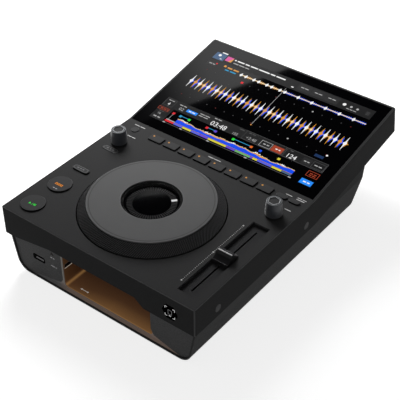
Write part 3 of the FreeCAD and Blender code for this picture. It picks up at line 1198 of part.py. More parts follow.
# Rear
def make_rear():
    """The metal panel inside the rear opening, and its sockets and power button, in the panel's frame."""
    inner = "(0 - base_wall - face_gap)"
    deep = "(%s - rear_plate_wall)" % inner
    plate = block("RearPlate", "0 - rear_width / 2 - 8", "rear_width / 2 + 8", deep, inner,
                  "0 - rear_height / 2 - 5", "rear_height / 2 + 5")
    holes = []
    inlet = ("inlet_x - inlet_width / 2", "inlet_x + inlet_width / 2", "0 - inlet_height / 2", "inlet_height / 2")

    def widened(area):
        low_x, high_x, low_z, high_z = area
        lows = ["%s - face_gap / 2" % side for side in (low_x, low_z)]
        highs = ["%s + face_gap / 2" % side for side in (high_x, high_z)]
        return lows[0], highs[0], lows[1], highs[1]

    def hole(name, area):
        x0, x1, z0, z1 = widened(area)
        holes.append(block(name, x0, x1, "%s - 1" % deep, "%s + 1" % inner, z0, z1))

    def tube(name, x, y0, y1, radius):
        rod = doc.addObject("Part::Cylinder", name)
        bind(rod, "Radius", radius)
        bind(rod, "Height", "(%s) - (%s)" % (y1, y0))
        rod.Placement = FreeCAD.Placement(FreeCAD.Vector(), FreeCAD.Rotation(AXIS_X, -90))
        return place(rod, x, y0, "0")

    hole("InletHole", inlet)
    holes.append(tube("SwitchHole", "switch_x", "%s - 1" % deep, "%s + 1" % inner, "switch_radius + button_gap"))
    phono = ["phono_x - %d * phono_pitch" % step for step in range(3)]
    for step, x in enumerate(phono):
        holes.append(tube("PhonoHole%d" % step, x, "%s - 1" % deep, "%s + 1" % inner, "phono_radius + face_gap / 2"))
    data = ["0 - data_x - %d * data_pitch" % step for step in range(2)]
    for step, x in enumerate(data):
        hole("DataHole%d" % step, ("%s - data_width / 2" % x, "%s + data_width / 2" % x,
                                   "0 - data_height / 2", "data_height / 2"))
    piece(rear_frame(group("RearPanel", [cut("RearPanelPlate", plate, group("RearHoles", holes))])), "rear_panel")

    x0, x1, z0, z1 = inlet
    case = block("InletCase", x0, x1, "%s - 16" % deep, "0 - 0.8", z0, z1)
    well = block("InletWell", "%s + 2.5" % x0, "%s - 2.5" % x1, "0 - 14", "1", "%s + 2.5" % z0, "%s - 2.5" % z1)
    pins = [tube("InletPin%d" % step, "inlet_x + %d * 5" % side, "0 - 15", "0 - 3", "1.3")
            for step, side in enumerate((-1, 1))]
    solid = fuse("InletSolid", [cut("InletHollow", case, well)] + pins)
    piece(rear_frame(group("PowerInlet", [solid])), "power_inlet")

    sleeves = []
    for step, x in enumerate(phono):
        sleeve = tube("PhonoSleeve%d" % step, x, "%s - 8" % deep, "0 - 0.5", "phono_radius")
        bore = tube("PhonoBore%d" % step, x, "%s - 6" % deep, "1", "1.7")
        sleeves.append(cut("Phono%d" % step, sleeve, bore))
    piece(rear_frame(group("PhonoSockets", sleeves)), "rca_sockets")

    jacks = []
    for step, x in enumerate(data):
        jack = block("DataCase%d" % step, "%s - data_width / 2" % x, "%s + data_width / 2" % x,
                     "%s - socket_depth" % deep, "0 - 1", "0 - data_height / 2", "data_height / 2")
        wide, tall = ("data_width / 2 - 2", "data_height / 2 - 2.5") if step == 0 else ("4.2", "3.9")
        opening = block("DataWell%d" % step, "%s - (%s)" % (x, wide), "%s + %s" % (x, wide),
                        "%s - socket_depth + 2" % deep, "1", "0 - (%s)" % tall, tall)
        jacks.append(cut("DataJack%d" % step, jack, opening))
    piece(rear_frame(group("DataSockets", jacks)), "data_sockets")

    knob = tube("PowerStem", "switch_x", "%s - 7" % deep, "1.5", "switch_radius")
    collar = tube("PowerCollar", "switch_x", "%s - 7" % deep, "%s - face_gap" % deep, "switch_radius + button_flange")
    piece(rear_frame(group("PowerButton", [fuse("PowerButtonSolid", [knob, collar])])), "power_button")


make_deck_shell()
make_base_shell()
make_front_plates()
make_recess_tray()
make_sockets()
make_side_plugs()
make_screen()
make_jog()
make_buttons()
make_button_boards()
make_dials()
make_slider()
make_boards()
make_feet()
make_rear()
doc.recompute()

for item in doc.Objects:
    if "Invalid" in item.State or "Error" in item.State:
        raise RuntimeError("%s failed: %s" % (item.Name, item.State))
for item in pieces:
    shape = item.Shape
    if shape.isNull() or not shape.isValid() or not shape.Solids:
        raise RuntimeError("%s has no valid solid" % item.Label)

os.makedirs("parts", exist_ok=True)
for item in pieces:
    item.Shape.exportStep("parts/%s.step" % item.Label)
print("%d pieces" % len(pieces))
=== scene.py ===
"""A tabletop DJ media player on a pale floor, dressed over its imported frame."""
import json
import logging
import math
from collections.abc import Callable, Sequence
from dataclasses import dataclass, field
from enum import Enum

import bmesh
import bpy
from mathutils import Matrix, Vector

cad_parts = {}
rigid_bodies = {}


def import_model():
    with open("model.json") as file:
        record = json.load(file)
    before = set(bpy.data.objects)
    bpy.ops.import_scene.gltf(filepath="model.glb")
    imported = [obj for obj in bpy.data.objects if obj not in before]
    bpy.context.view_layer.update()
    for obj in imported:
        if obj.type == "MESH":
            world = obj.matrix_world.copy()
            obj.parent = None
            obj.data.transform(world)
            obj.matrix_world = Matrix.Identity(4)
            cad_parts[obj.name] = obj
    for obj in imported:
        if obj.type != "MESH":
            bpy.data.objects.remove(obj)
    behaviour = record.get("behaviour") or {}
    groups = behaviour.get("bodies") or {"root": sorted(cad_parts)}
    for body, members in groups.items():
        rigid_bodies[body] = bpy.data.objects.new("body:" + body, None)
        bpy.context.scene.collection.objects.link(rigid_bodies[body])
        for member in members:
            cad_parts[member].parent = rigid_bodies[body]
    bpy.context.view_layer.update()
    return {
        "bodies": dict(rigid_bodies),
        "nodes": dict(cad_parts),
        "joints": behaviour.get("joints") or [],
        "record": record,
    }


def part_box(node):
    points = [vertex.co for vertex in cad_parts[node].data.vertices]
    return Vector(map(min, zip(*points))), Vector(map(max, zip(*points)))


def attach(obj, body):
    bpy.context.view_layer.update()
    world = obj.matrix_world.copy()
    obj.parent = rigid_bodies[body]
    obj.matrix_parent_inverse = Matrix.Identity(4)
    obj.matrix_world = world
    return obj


log = logging.getLogger("media_player")
MM = 0.001
NARROW_FACING = 0.93
UPRIGHT_FACING = 0.3
Point = tuple[float, float]
Place = tuple[float, float, float]
Colour = tuple[float, float, float]
Stops = Sequence[tuple[float, Colour]]
Surface = Callable[[float, float, float], Vector]
Socket = bpy.types.NodeSocket


@dataclass(frozen=True)
class Layout:
    """Sizes that the frame was built to, in millimetres and degrees."""

    deck: float = 106.0
    bend: float = 257.0
    slope: float = 208.5
    thick: float = 43.2
    tilt: float = 10.3
    half_width: float = 160.0
    plate_inset: float = 8.0
    jog: float = 115.7
    row: float = 238.2
    left_column: float = -130.0
    right_column: float = 133.2
    dial: float = 200.0
    key_rise: float = 2.4

    @property
    def front(self) -> float:
        """The slab's front, from the middle of the whole depth."""
        turn = math.radians(self.tilt)
        return -(self.bend + self.slope * math.cos(turn) + self.thick * math.sin(turn)) / 2

    def on_deck(self, x: float, y: float, rise: float = 0.0) -> Vector:
        """A point on the level deck, y from the slab's front."""
        return Vector((x, self.front + y, self.deck + rise)) * MM

    def on_screen(self, u: float, v: float, rise: float = 0.0) -> Vector:
        """A point on the tilted screen.

        Args:
            u: its place across, from the middle.
            v: its place up the slope, from the bend.
            rise: its height above the screen.

        Returns:
            The point.
        """
        turn = math.radians(self.tilt)
        y = self.front + self.bend + v * math.cos(turn) - rise * math.sin(turn)
        return Vector((u, y, self.deck + v * math.sin(turn) + rise * math.cos(turn))) * MM

    def on_front(self, x: float, drop: float, rise: float = 0.0) -> Vector:
        """A point on the slab's front face, drop down from the deck's top."""
        return Vector((x, self.front - rise, self.deck - drop)) * MM

    def on_plates(self, x: float, drop: float, rise: float = 0.0) -> Vector:
        """A point on the base's front plates."""
        return Vector((x, self.front + self.plate_inset - rise, self.deck - drop)) * MM

    def on_cap(self, x: float, y: float, top: float) -> Surface:
        """The surface of a cap, from its middle and its top's height above the deck."""
        return lambda u, v, rise: self.on_deck(x + u, y + v, top + rise)


LAYOUT = Layout()


class NodeLines:
    """Adds and joins shader nodes in one material."""

    def __init__(self, name: str) -> None:
        """Starts an empty material.

        Args:
            name: the material's name.
        """
        self.material = bpy.data.materials.new(name)
        self.material.use_nodes = True
        self.tree = self.material.node_tree
        self.tree.nodes.clear()

    def add(self, kind: str, **values: object) -> bpy.types.Node:
        """Adds a node.

        Args:
            kind: the node's type.
            **values: its plain properties.

        Returns:
            The node.
        """
        node = self.tree.nodes.new(kind)
        for key, value in values.items():
            setattr(node, key, value)
        return node

    def link(self, source: Socket, target: Socket) -> None:
        """Joins two sockets."""
        self.tree.links.new(source, target)

    def feed(self, slot: Socket, value: object) -> None:
        """Gives an input its value.

        Args:
            slot: the input.
            value: a socket to join, a colour or a number.
        """
        if isinstance(value, Socket):
            self.link(value, slot)
        else:
            slot.default_value = (*value, 1.0) if isinstance(value, tuple) else value

    def sums(self, operation: str, first: object, second: object = 0.0) -> Socket:
        """A Math node's result.

        Args:
            operation: the Math node's operation.
            first: a socket or a number.
            second: a socket or a number.

        Returns:
            The result's socket.
        """
        node = self.add("ShaderNodeMath", operation=operation)
        for slot, value in zip(node.inputs, (first, second)):
            self.feed(slot, value)
        return node.outputs[0]

    def place(self) -> Socket:
        """Object coordinates."""
        return self.add("ShaderNodeTexCoord").outputs["Object"]

    def split(self, source: Socket) -> list[Socket]:
        """A vector's three parts.

        Args:
            source: the vector.

        Returns:
            The parts' sockets.
        """
        node = self.add("ShaderNodeSeparateXYZ")
        self.link(source, node.inputs[0])
        return list(node.outputs)

    def facing(self) -> list[Socket]:
        """How much a face looks along each axis, from 0 to 1."""
        normal = self.add("ShaderNodeNewGeometry").outputs["True Normal"]
        return [self.sums("ABSOLUTE", part) for part in self.split(normal)]

    def noise(self, place: Socket, size: float, detail: float = 2.0) -> Socket:
        """Grain.

        Args:
            place: the coordinates that it follows.
            size: its size in metres.
            detail: its finer octaves.

        Returns:
            A socket from 0 to 1.
        """
        node = self.add("ShaderNodeTexNoise")
        node.inputs["Scale"].default_value = 1.0 / size
        node.inputs["Detail"].default_value = detail
        self.link(place, node.inputs["Vector"])
        return node.outputs["Fac"]

    def ranged(self, value: Socket, span: Point, into: Point = (0.0, 1.0)) -> Socket:
        """A value carried from one span into another, and kept there.

        Args:
            value: the value.
            span: where it starts and ends.
            into: what its start and end become.

        Returns:
            The new value's socket.
        """
        node = self.add("ShaderNodeMapRange")
        self.link(value, node.inputs["Value"])
        for name, number in zip(("From Min", "From Max", "To Min", "To Max"), (*span, *into)):
            node.inputs[name].default_value = number
        return node.outputs[0]

    def shades(self, factor: Socket, stops: Stops) -> Socket:
        """A colour ramp.

        Args:
            factor: what runs along it.
            stops: its places and colours.

        Returns:
            The colour's socket.
        """
        node = self.add("ShaderNodeValToRGB")
        elements = node.color_ramp.elements
        while len(elements) < len(stops):
            elements.new(0.5)
        for element, (at, colour) in zip(elements, stops):
            element.position = at
            element.color = (*colour, 1.0)
        self.link(factor, node.inputs["Fac"])
        return node.outputs["Color"]

    def mottled(self, factor: Socket, colour: Colour, spread: float, ends: Point = (0.3, 0.7)) -> Socket:
        """A colour that varies from a little darker to a little lighter."""
        tones = (lighter(colour, 1 - spread), lighter(colour, 1 + spread))
        return self.shades(factor, list(zip(ends, tones)))

    def mixed(self, share: object, first: object, second: object, blend: str = "MIX") -> Socket:
        """Two colours put together.

        Args:
            share: how much of the second, as a socket or a number.
            first: a socket or a colour.
            second: a socket or a colour.
            blend: the way of putting them together.

        Returns:
            The new colour's socket.
        """
        node = self.add("ShaderNodeMix", data_type="RGBA", blend_type=blend)
        for name, value in (("Factor", share), ("A", first), ("B", second)):
            self.feed(node.inputs[name], value)
        return node.outputs["Result"]

    def near(self, first: Socket, x: float, second: Socket, z: float, reach: float) -> Socket:
        """One on a line along an axis, falling to nothing at a reach.

        Args:
            first: the coordinate along one other axis.
            x: the line's place on it.
            second: the coordinate along the other axis.
            z: the line's place on it.
            reach: where it ends.

        Returns:
            The value's socket.
        """
        parts = [self.sums("SUBTRACT", part, at) for part, at in ((first, x), (second, z))]
        squares = [self.sums("MULTIPLY", part, part) for part in parts]
        away = self.sums("SQRT", self.sums("ADD", *squares))
        return self.sums("MAXIMUM", self.sums("SUBTRACT", 1.0, self.sums("DIVIDE", away, reach)), 0.0)

    def bump(self, height: Socket, strength: float, depth: float) -> Socket:
        """A bump.

        Args:
            height: what it follows.
            strength: its strength.
            depth: its depth in metres.

        Returns:
            The normal's socket.
        """
        node = self.add("ShaderNodeBump")
        node.inputs["Strength"].default_value = strength
        node.inputs["Distance"].default_value = depth
        self.link(height, node.inputs["Height"])
        return node.outputs["Normal"]

    def shader(self, roughness: float, **values: float) -> bpy.types.Node:
        """The surface shader, joined to the output.

        Args:
            roughness: its roughness.
            **values: its other inputs by name, with _ for a space.

        Returns:
            The shader's node.
        """
        shader = self.add("ShaderNodeBsdfPrincipled")
        shader.inputs["Roughness"].default_value = roughness
        for key, value in values.items():
            shader.inputs[key.replace("_", " ")].default_value = value
        self.link(shader.outputs[0], self.add("ShaderNodeOutputMaterial").inputs["Surface"])
        return shader


def lighter(colour: Colour, share: float) -> Colour:
    """A colour made lighter, or darker below one."""
    return tuple(min(1.0, part * share) for part in colour)


@dataclass(frozen=True)
class MouldedPlastic:
    """Moulded plastic or rubber with a fine grain; where asked, it paints a highlight on thin bevel faces and
    paints shade on steep sides.
    """

    name: str
    colour: Colour
    roughness: float = 0.55
    gloss: float = 0.2
    grain: float = 0.0007
    depth: float = 0.00003
    mottle: float = 0.08
    # edge: how many times lighter the thin bevel faces are drawn, a painted highlight.
    edge: float = 1.0
    sheen: float = 0.0
    # skirt: how many times darker the steep sides are drawn, painted shade.
    skirt: float = 1.0

    def material(self) -> bpy.types.Material:
        """Builds the material.

        Returns:
            The material.
        """
        lines = NodeLines(self.name)
        grain = lines.noise(lines.place(), self.grain)
        tone = lines.mottled(grain, self.colour, self.mottle)
        shader = lines.shader(self.roughness, Specular_IOR_Level=self.gloss, Sheen_Weight=self.sheen)
        # Painted highlight: faces that look along no axis, the bevels, are drawn lighter.
        if self.edge != 1.0:
            sides = lines.facing()
            flat = lines.sums("MAXIMUM", lines.sums("MAXIMUM", sides[0], sides[1]), sides[2])
            edge_highlight_mask = lines.sums("LESS_THAN", flat, NARROW_FACING)
            tone = lines.mixed(edge_highlight_mask, tone, lighter(self.colour, self.edge))
        # Painted shade: steep sides are drawn darker.
        if self.skirt != 1.0:
            side_shade_mask = lines.sums("LESS_THAN", lines.facing()[2], UPRIGHT_FACING)
            tone = lines.mixed(side_shade_mask, tone, lighter(self.colour, self.skirt))
        lines.link(tone, shader.inputs["Base Color"])
        lines.link(lines.bump(grain, 0.5, self.depth), shader.inputs["Normal"])
        return lines.material


@dataclass(frozen=True)
class Metal:
    """Plated, turned or blasted metal."""

    name: str
    colour: Colour
    roughness: float = 0.35
    grain: float = 0.0005
    mottle: float = 0.1
    depth: float = 0.00002

    def material(self) -> bpy.types.Material:
        """Builds the material.

        Returns:
            The material.
        """
        lines = NodeLines(self.name)
        grain = lines.noise(lines.place(), self.grain, 3.0)
        shader = lines.shader(self.roughness, Metallic=1.0)
        lines.link(lines.mottled(grain, self.colour, self.mottle), shader.inputs["Base Color"])
        lines.link(lines.bump(grain, 0.3, self.depth), shader.inputs["Normal"])
        return lines.material


@dataclass(frozen=True)
class TurnedDisc:
    """The jog's top: satin metal with fine turning marks about its centre."""

    name: str
    colour: Colour
    centre: Vector
    roughness: float = 0.5
    gloss: float = 0.15
    marks: float = 0.0006
    cloud: float = 0.02
    mottle: float = 0.06
    depth: float = 0.00002

    def material(self) -> bpy.types.Material:
        """Builds the material.

        Returns:
            The material.
        """
        lines = NodeLines(self.name)
        shift = lines.add("ShaderNodeMapping")
        shift.inputs["Location"].default_value = (-self.centre.x, -self.centre.y, 0.0)
        lines.link(lines.place(), shift.inputs["Vector"])
        squares = [lines.sums("MULTIPLY", part, part) for part in lines.split(shift.outputs[0])[:2]]
        joined = lines.add("ShaderNodeCombineXYZ")
        lines.link(lines.sums("SQRT", lines.sums("ADD", *squares)), joined.inputs[0])
        marks = lines.noise(joined.outputs[0], self.marks, 1.0)
        cloud = lines.noise(lines.place(), self.cloud, 1.0)
        both = lines.sums("ADD", lines.sums("MULTIPLY", marks, 0.7), lines.sums("MULTIPLY", cloud, 0.3))
        shader = lines.shader(self.roughness, Specular_IOR_Level=self.gloss)
        lines.link(lines.mottled(both, self.colour, self.mottle), shader.inputs["Base Color"])
        lines.link(lines.bump(marks, 0.25, self.depth), shader.inputs["Normal"])
        return lines.material


@dataclass(frozen=True)
class BronzeCoatWithPaintedLight:
    """The recess's bronze lacquer, grainy, drawn with painted light: darker and dimmer deep inside and on its
    walls as painted shade, and lighter and glowing towards its mouth and its right, with painted highlights on
    its left corner and its mouth's edge.

    Its places are in metres, in the frame's coordinates.
    """

    name: str
    dark: Colour
    light: Colour
    back: float
    mouth: float
    across: Point = (-0.067, 0.01)
    climb: Point = (0.0095, 0.018)
    grain: float = 0.0008
    # The painted glow's colours, from the dim back to the bright mouth.
    glow: Stops = (
        (0.0, (0.016, 0.007, 0.0035)), (0.55, (0.036, 0.017, 0.008)), (1.0, (0.11, 0.056, 0.021)),
    )
    # The colour of the painted highlights, and the place and reach of the one on the left corner and of the one
    # along the mouth's edge.
    painted_highlight: Colour = (1.0, 0.52, 0.16)
    corner_highlight: Place = (-0.0655, 0.011, 0.003)
    line: Point = (0.0088, 0.0009)
    # The lip's colours by its place across, and its painted glow, brighter towards the right.
    lip_depth: float = 0.0004
    lip_across: Point = (-0.08, -0.06)
    lip_tone: Stops = ((0.0, (0.12, 0.12, 0.12)), (1.0, (0.16, 0.12, 0.1)))
    lip_painted_glow: Stops = ((0.0, (0.022, 0.022, 0.022)), (1.0, (0.06, 0.044, 0.036)))

    def material(self) -> bpy.types.Material:
        """Builds the material.

        Returns:
            The material.
        """
        lines = NodeLines(self.name)
        place = lines.place()
        x, y, z = lines.split(place)
        # Painted shade: the base colour is darker deep in the recess and lighter towards its mouth.
        depth = lines.ranged(y, (self.back, self.mouth))
        grain = lines.noise(place, self.grain, 4.0)
        speck = lines.sums("SUBTRACT", grain, 0.5)
        tone = lines.shades(lines.sums("ADD", depth, lines.sums("MULTIPLY", speck, 0.5)),
                            [(0.0, self.dark), (1.0, self.light)])
        # Painted glow, brighter towards the mouth and the right.
        lit = lines.sums("MULTIPLY", depth, lines.ranged(x, self.across, (0.62, 1.0)))
        painted_glow = lines.shades(lines.sums("ADD", lit, lines.sums("MULTIPLY", speck, 0.3)), self.glow)
        corner_highlight = lines.near(x, self.corner_highlight[0], z, self.corner_highlight[1], self.corner_highlight[2])
        line = lines.near(y, self.mouth, z, self.line[0], self.line[1])
        # Painted highlights on the left corner and along the mouth's edge.
        for painted_highlight, share in ((corner_highlight, 0.16), (line, 0.12)):
            painted_glow = lines.mixed(lines.sums("MULTIPLY", painted_highlight, share), painted_glow, self.painted_highlight, "ADD")
        # Painted shade on the walls: the glow fades above the floor.
        painted_glow = lines.mixed(1.0, painted_glow, lines.ranged(z, self.climb, (1.0, 0.3)), "MULTIPLY")
        lip = lines.sums("LESS_THAN", y, self.mouth - self.lip_depth)
        side = lines.ranged(x, self.lip_across)
        # The lacquer glows though it holds no lamp: painted light.
        shader = lines.shader(0.42, Metallic=0.3, Specular_IOR_Level=0.3, Emission_Strength=1.0)
        for slot, inside, lips in (
            ("Base Color", tone, self.lip_tone), ("Emission Color", painted_glow, self.lip_painted_glow),
        ):
            lines.link(lines.mixed(lip, inside, lines.shades(side, lips)), shader.inputs[slot])
        lines.link(lines.bump(grain, 0.4, 0.00004), shader.inputs["Normal"])
        return lines.material


@dataclass(frozen=True)
class Glass:
    """Screen or window glass, black behind it or clear."""

    name: str
    roughness: float = 0.05
    gloss: float = 0.5
    alpha: float = 1.0

    def material(self) -> bpy.types.Material:
        """Builds the material.

        Returns:
            The material.
        """
        lines = NodeLines(self.name)
        smear = lines.noise(lines.place(), 0.03, 1.0)
        shader = lines.shader(self.roughness, Specular_IOR_Level=self.gloss, Alpha=self.alpha)
        tone = lines.shades(smear, [(0.0, (0.0008, 0.0008, 0.001)), (1.0, (0.0014, 0.0014, 0.0018))])
        lines.link(tone, shader.inputs["Base Color"])
        return lines.material


@dataclass(frozen=True)
class Lit:
    """A lit mark or a mark drawn glowing as painted light, or, where its glow is none, a light print or a
    painted shade, with a faint unevenness.
    """

    name: str
    colour: Colour
    # glow: the emission's strength; on marks with no lamp behind them it is painted light.
    glow: float = 1.0
    roughness: float = 0.3
    mottle: float = 0.06

    def material(self) -> bpy.types.Material:
        """Builds the material.

        Returns:
            The material.
        """
        lines = NodeLines(self.name)
        smear = lines.noise(lines.place(), 0.002, 1.0)
        tone = lines.mottled(smear, self.colour, self.mottle, (0.0, 1.0))
        gloss = 0.5 if self.glow else 0.2
        shader = lines.shader(self.roughness, Specular_IOR_Level=gloss, Emission_Strength=self.glow)
        if self.glow:
            lines.link(tone, shader.inputs["Emission Color"])
            shader.inputs["Base Color"].default_value = (0.002, 0.002, 0.002, 1.0)
        else:
            lines.link(tone, shader.inputs["Base Color"])
        return lines.material


class Finishes:
    """Every finish of the player, each made once."""

    def __init__(self) -> None:
        """Sets up the finishes by name."""
        self.made: dict[str, bpy.types.Material] = {}
        for finish in (*self.plastics(), *self.metals(), *self.lights(), *self.others()):
            self.made[finish.name] = finish.material()

    def __getitem__(self, name: str) -> bpy.types.Material:
        """The material of a finish."""
        return self.made[name]

    @staticmethod
    def plastics() -> list[MouldedPlastic]:
        """Paints, plastics and rubbers.

        Returns:
            The finishes.
        """
        return [
            # Through edge, deck_paint, plate_texture, key_satin and pad_satin draw their bevels lighter, a
            # painted highlight; through skirt, the keys and pads draw their sides darker, painted shade.
            MouldedPlastic("deck_paint", (0.0365, 0.0365, 0.037), 0.6, 0.022, edge=3.6),
            MouldedPlastic("base_texture", (0.06, 0.06, 0.0605), 0.65, 0.05, 0.0011, 0.00008, 0.22),
            MouldedPlastic("plate_texture", (0.105, 0.105, 0.106), 0.6, 0.1, 0.0011, 0.00008, 0.22, 2.0),
            MouldedPlastic("inner_black", (0.012, 0.012, 0.012), 0.6, 0.2),
            MouldedPlastic("natural_nylon", (0.62, 0.61, 0.57), 0.45, 0.4),
            MouldedPlastic("ring_rubber", (0.017, 0.017, 0.0172), 0.55, 0.25, 0.0005),
            # The jog's ribs are drawn much lighter than the ring's rubber between them: a painted highlight.
            MouldedPlastic("rib_rubber_highlight", (0.085, 0.085, 0.087), 0.42, 0.3, 0.0005),
            MouldedPlastic("knob_rubber", (0.03, 0.034, 0.042), 0.42, 0.5, 0.0006, 0.00002, 0.12, sheen=0.45),
            # The knobs' top rims in a light tone: painted highlight.
            MouldedPlastic("knob_rim_highlight", (0.4, 0.41, 0.42), 0.35, 0.5, 0.0006, 0.00002, 0.08),
            MouldedPlastic("knob_band", (0.085, 0.09, 0.096), 0.4, 0.4, 0.0006, 0.00002, 0.08),
            MouldedPlastic("trough_satin", (0.024, 0.024, 0.025), 0.5, 0.15),
            MouldedPlastic("slider_satin", (0.016, 0.016, 0.017), 0.32, 0.5),
            MouldedPlastic("slider_ridge", (0.13, 0.13, 0.135), 0.3, 0.5),
            MouldedPlastic("key_satin", (0.042, 0.042, 0.043), 0.5, 0.1, edge=2.2, skirt=0.12),
            MouldedPlastic("pad_satin", (0.037, 0.037, 0.038), 0.5, 0.1, edge=1.8, skirt=0.12),
            MouldedPlastic("plug_satin", (0.017, 0.017, 0.0175), 0.55, 0.2),
            MouldedPlastic("lamp_window", (0.008, 0.0025, 0.002), 0.4, 0.05),
            MouldedPlastic("icon_gloss", (0.0008, 0.0008, 0.0009), 0.3, 0.0),
            MouldedPlastic("foot_rubber", (0.012, 0.012, 0.012), 0.8, 0.2, 0.0009, 0.00006),
            MouldedPlastic("board_green", (0.012, 0.09, 0.04), 0.4, 0.4, 0.002, 0.00003, 0.2),
            MouldedPlastic("panel_black", (0.02, 0.02, 0.02), 0.5, 0.3, 0.0008, 0.00005, 0.15),
        ]

    @staticmethod
    def metals() -> list[Metal]:
        """Metals.

        Returns:
            The finishes.
        """
        return [
            Metal("plated_steel", (0.5, 0.5, 0.51), 0.3), Metal("socket_plating", (0.24, 0.24, 0.25), 0.35),
            Metal("turned_steel", (0.55, 0.55, 0.55), 0.25), Metal("black_zinc", (0.06, 0.06, 0.065), 0.4),
            Metal("gold_plating", (0.72, 0.52, 0.22), 0.25), Metal("plain_brass", (0.68, 0.5, 0.24), 0.35),
        ]

    @staticmethod
    def lights() -> list[Lit]:
        """Lit marks, the screen's colours, light prints, painted glows on the sockets, the port's blade, the
        plates' and the recess's prints and the plate's rim, and the jog groove's painted shade.

        Returns:
            The finishes.
        """
        screen = (
            ("bar", (0.009, 0.009, 0.0095)), ("tile", (0.02, 0.02, 0.021)), ("slate", (0.06, 0.12, 0.23)),
            ("white", (0.9, 0.9, 0.9)), ("orange", (0.72, 0.32, 0.06)), ("blue", (0.004, 0.07, 0.85)),
            ("sky", (0.02, 0.26, 0.95)), ("yellow", (0.7, 0.62, 0.05)), ("green", (0.02, 0.7, 0.04)),
            ("leaf", (0.14, 0.42, 0.16)), ("red", (0.75, 0.02, 0.03)), ("rust", (0.36, 0.05, 0.02)),
            ("violet", (0.12, 0.06, 0.6)), ("pink", (0.7, 0.1, 0.35)), ("grey", (0.09, 0.09, 0.092)),
            ("cyan", (0.02, 0.3, 0.55)), ("dim", (0.04, 0.04, 0.042)), ("light", (0.42, 0.42, 0.42)),
            ("amber", (0.62, 0.27, 0.02)), ("cream", (0.9, 0.72, 0.45)), ("ember", (0.8, 0.14, 0.01)),
            ("indigo", (0.1, 0.12, 0.7)), ("navy", (0.008, 0.03, 0.1)), ("maroon", (0.1, 0.008, 0.008)),
        )
        return [
            Lit("mark_green", (0.03, 0.75, 0.06)), Lit("mark_orange", (0.72, 0.24, 0.02)),
            Lit("mark_amber", (0.6, 0.26, 0.03)), Lit("mark_white", (0.5, 0.5, 0.5), 0.9),
            Lit("print_grey", (0.34, 0.34, 0.345), 0.0, 0.6), Lit("print_dim", (0.14, 0.14, 0.142), 0.0, 0.6),
            # The jog groove's dark ring: painted shade.
            Lit("print_light", (0.5, 0.5, 0.5), 0.0, 0.6), Lit("groove_shade", (0.05, 0.05, 0.05), 0.0, 0.6),
            Lit("tick_dim", (0.011, 0.011, 0.0113)), Lit("marker_white", (0.8, 0.8, 0.8)),
            # The socket lips' glows: a painted highlight on the lower edge, a dimmer painted glow on the rest.
            Lit("socket_lip_highlight", (0.4, 0.34, 0.28)), Lit("socket_lip_dim_glow", (0.045, 0.032, 0.025)),
            # The port's blade and the prints on the plates and in the recess glow though they hold no lamp:
            # painted light.
            Lit("port_blade_glow", (0.085, 0.085, 0.086)), Lit("glowing_plate_print", (0.2, 0.2, 0.205), 0.8, 0.6),
            Lit("glowing_recess_print", (0.3, 0.27, 0.25), 1.0, 0.6),
            Lit("plate_rim_light", (0.1, 0.097, 0.09), 1.0, 0.6),
            *(Lit("pixel_" + name, colour) for name, colour in screen),
        ]

    @staticmethod
    def others() -> list[TurnedDisc | BronzeCoatWithPaintedLight | Glass]:
        """The jog's metal, the recess's lacquer with its painted light, and the glasses.

        Returns:
            The finishes.
        """
        jog = LAYOUT.on_deck(0, LAYOUT.jog)
        front = LAYOUT.front * MM
        return [
            TurnedDisc("jog_satin", (0.09, 0.09, 0.091), jog),
            # The jog plate's edges in a lighter tone: painted highlight.
            TurnedDisc("jog_rim_highlight", (0.125, 0.125, 0.127), jog, 0.4),
            BronzeCoatWithPaintedLight("bronze_lacquer_painted_light", (0.075, 0.032, 0.016), (0.3, 0.15, 0.06),
                       back=front + 0.06, mouth=front + 0.0121),
            Glass("screen_glass"), Glass("window_glass", 0.08, 0.1, 0.08),
        ]


class Body(Enum):
    """Frame bodies that pieces ride on."""

    HOUSING = "housing"
    JOG = "jog"
    TEMPO = "tempo"
    LEFT_DIAL = "left_dial"
    RIGHT_DIAL = "right_dial"


def new_piece(name: str, mesh: bpy.types.Mesh, body: str) -> bpy.types.Object:
    """Puts a finished mesh into the scene and lets it ride.

    Args:
        name: the piece's name.
        mesh: its mesh, in the frame's coordinates, with its materials.
        body: the body that it rides on.

    Returns:
        The piece's object.
    """
    piece = bpy.data.objects.new(name, mesh)
    bpy.context.scene.collection.objects.link(piece)
    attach(piece, body)
    log.info("piece %s: %d faces on %s", name, len(mesh.polygons), body)
    return piece


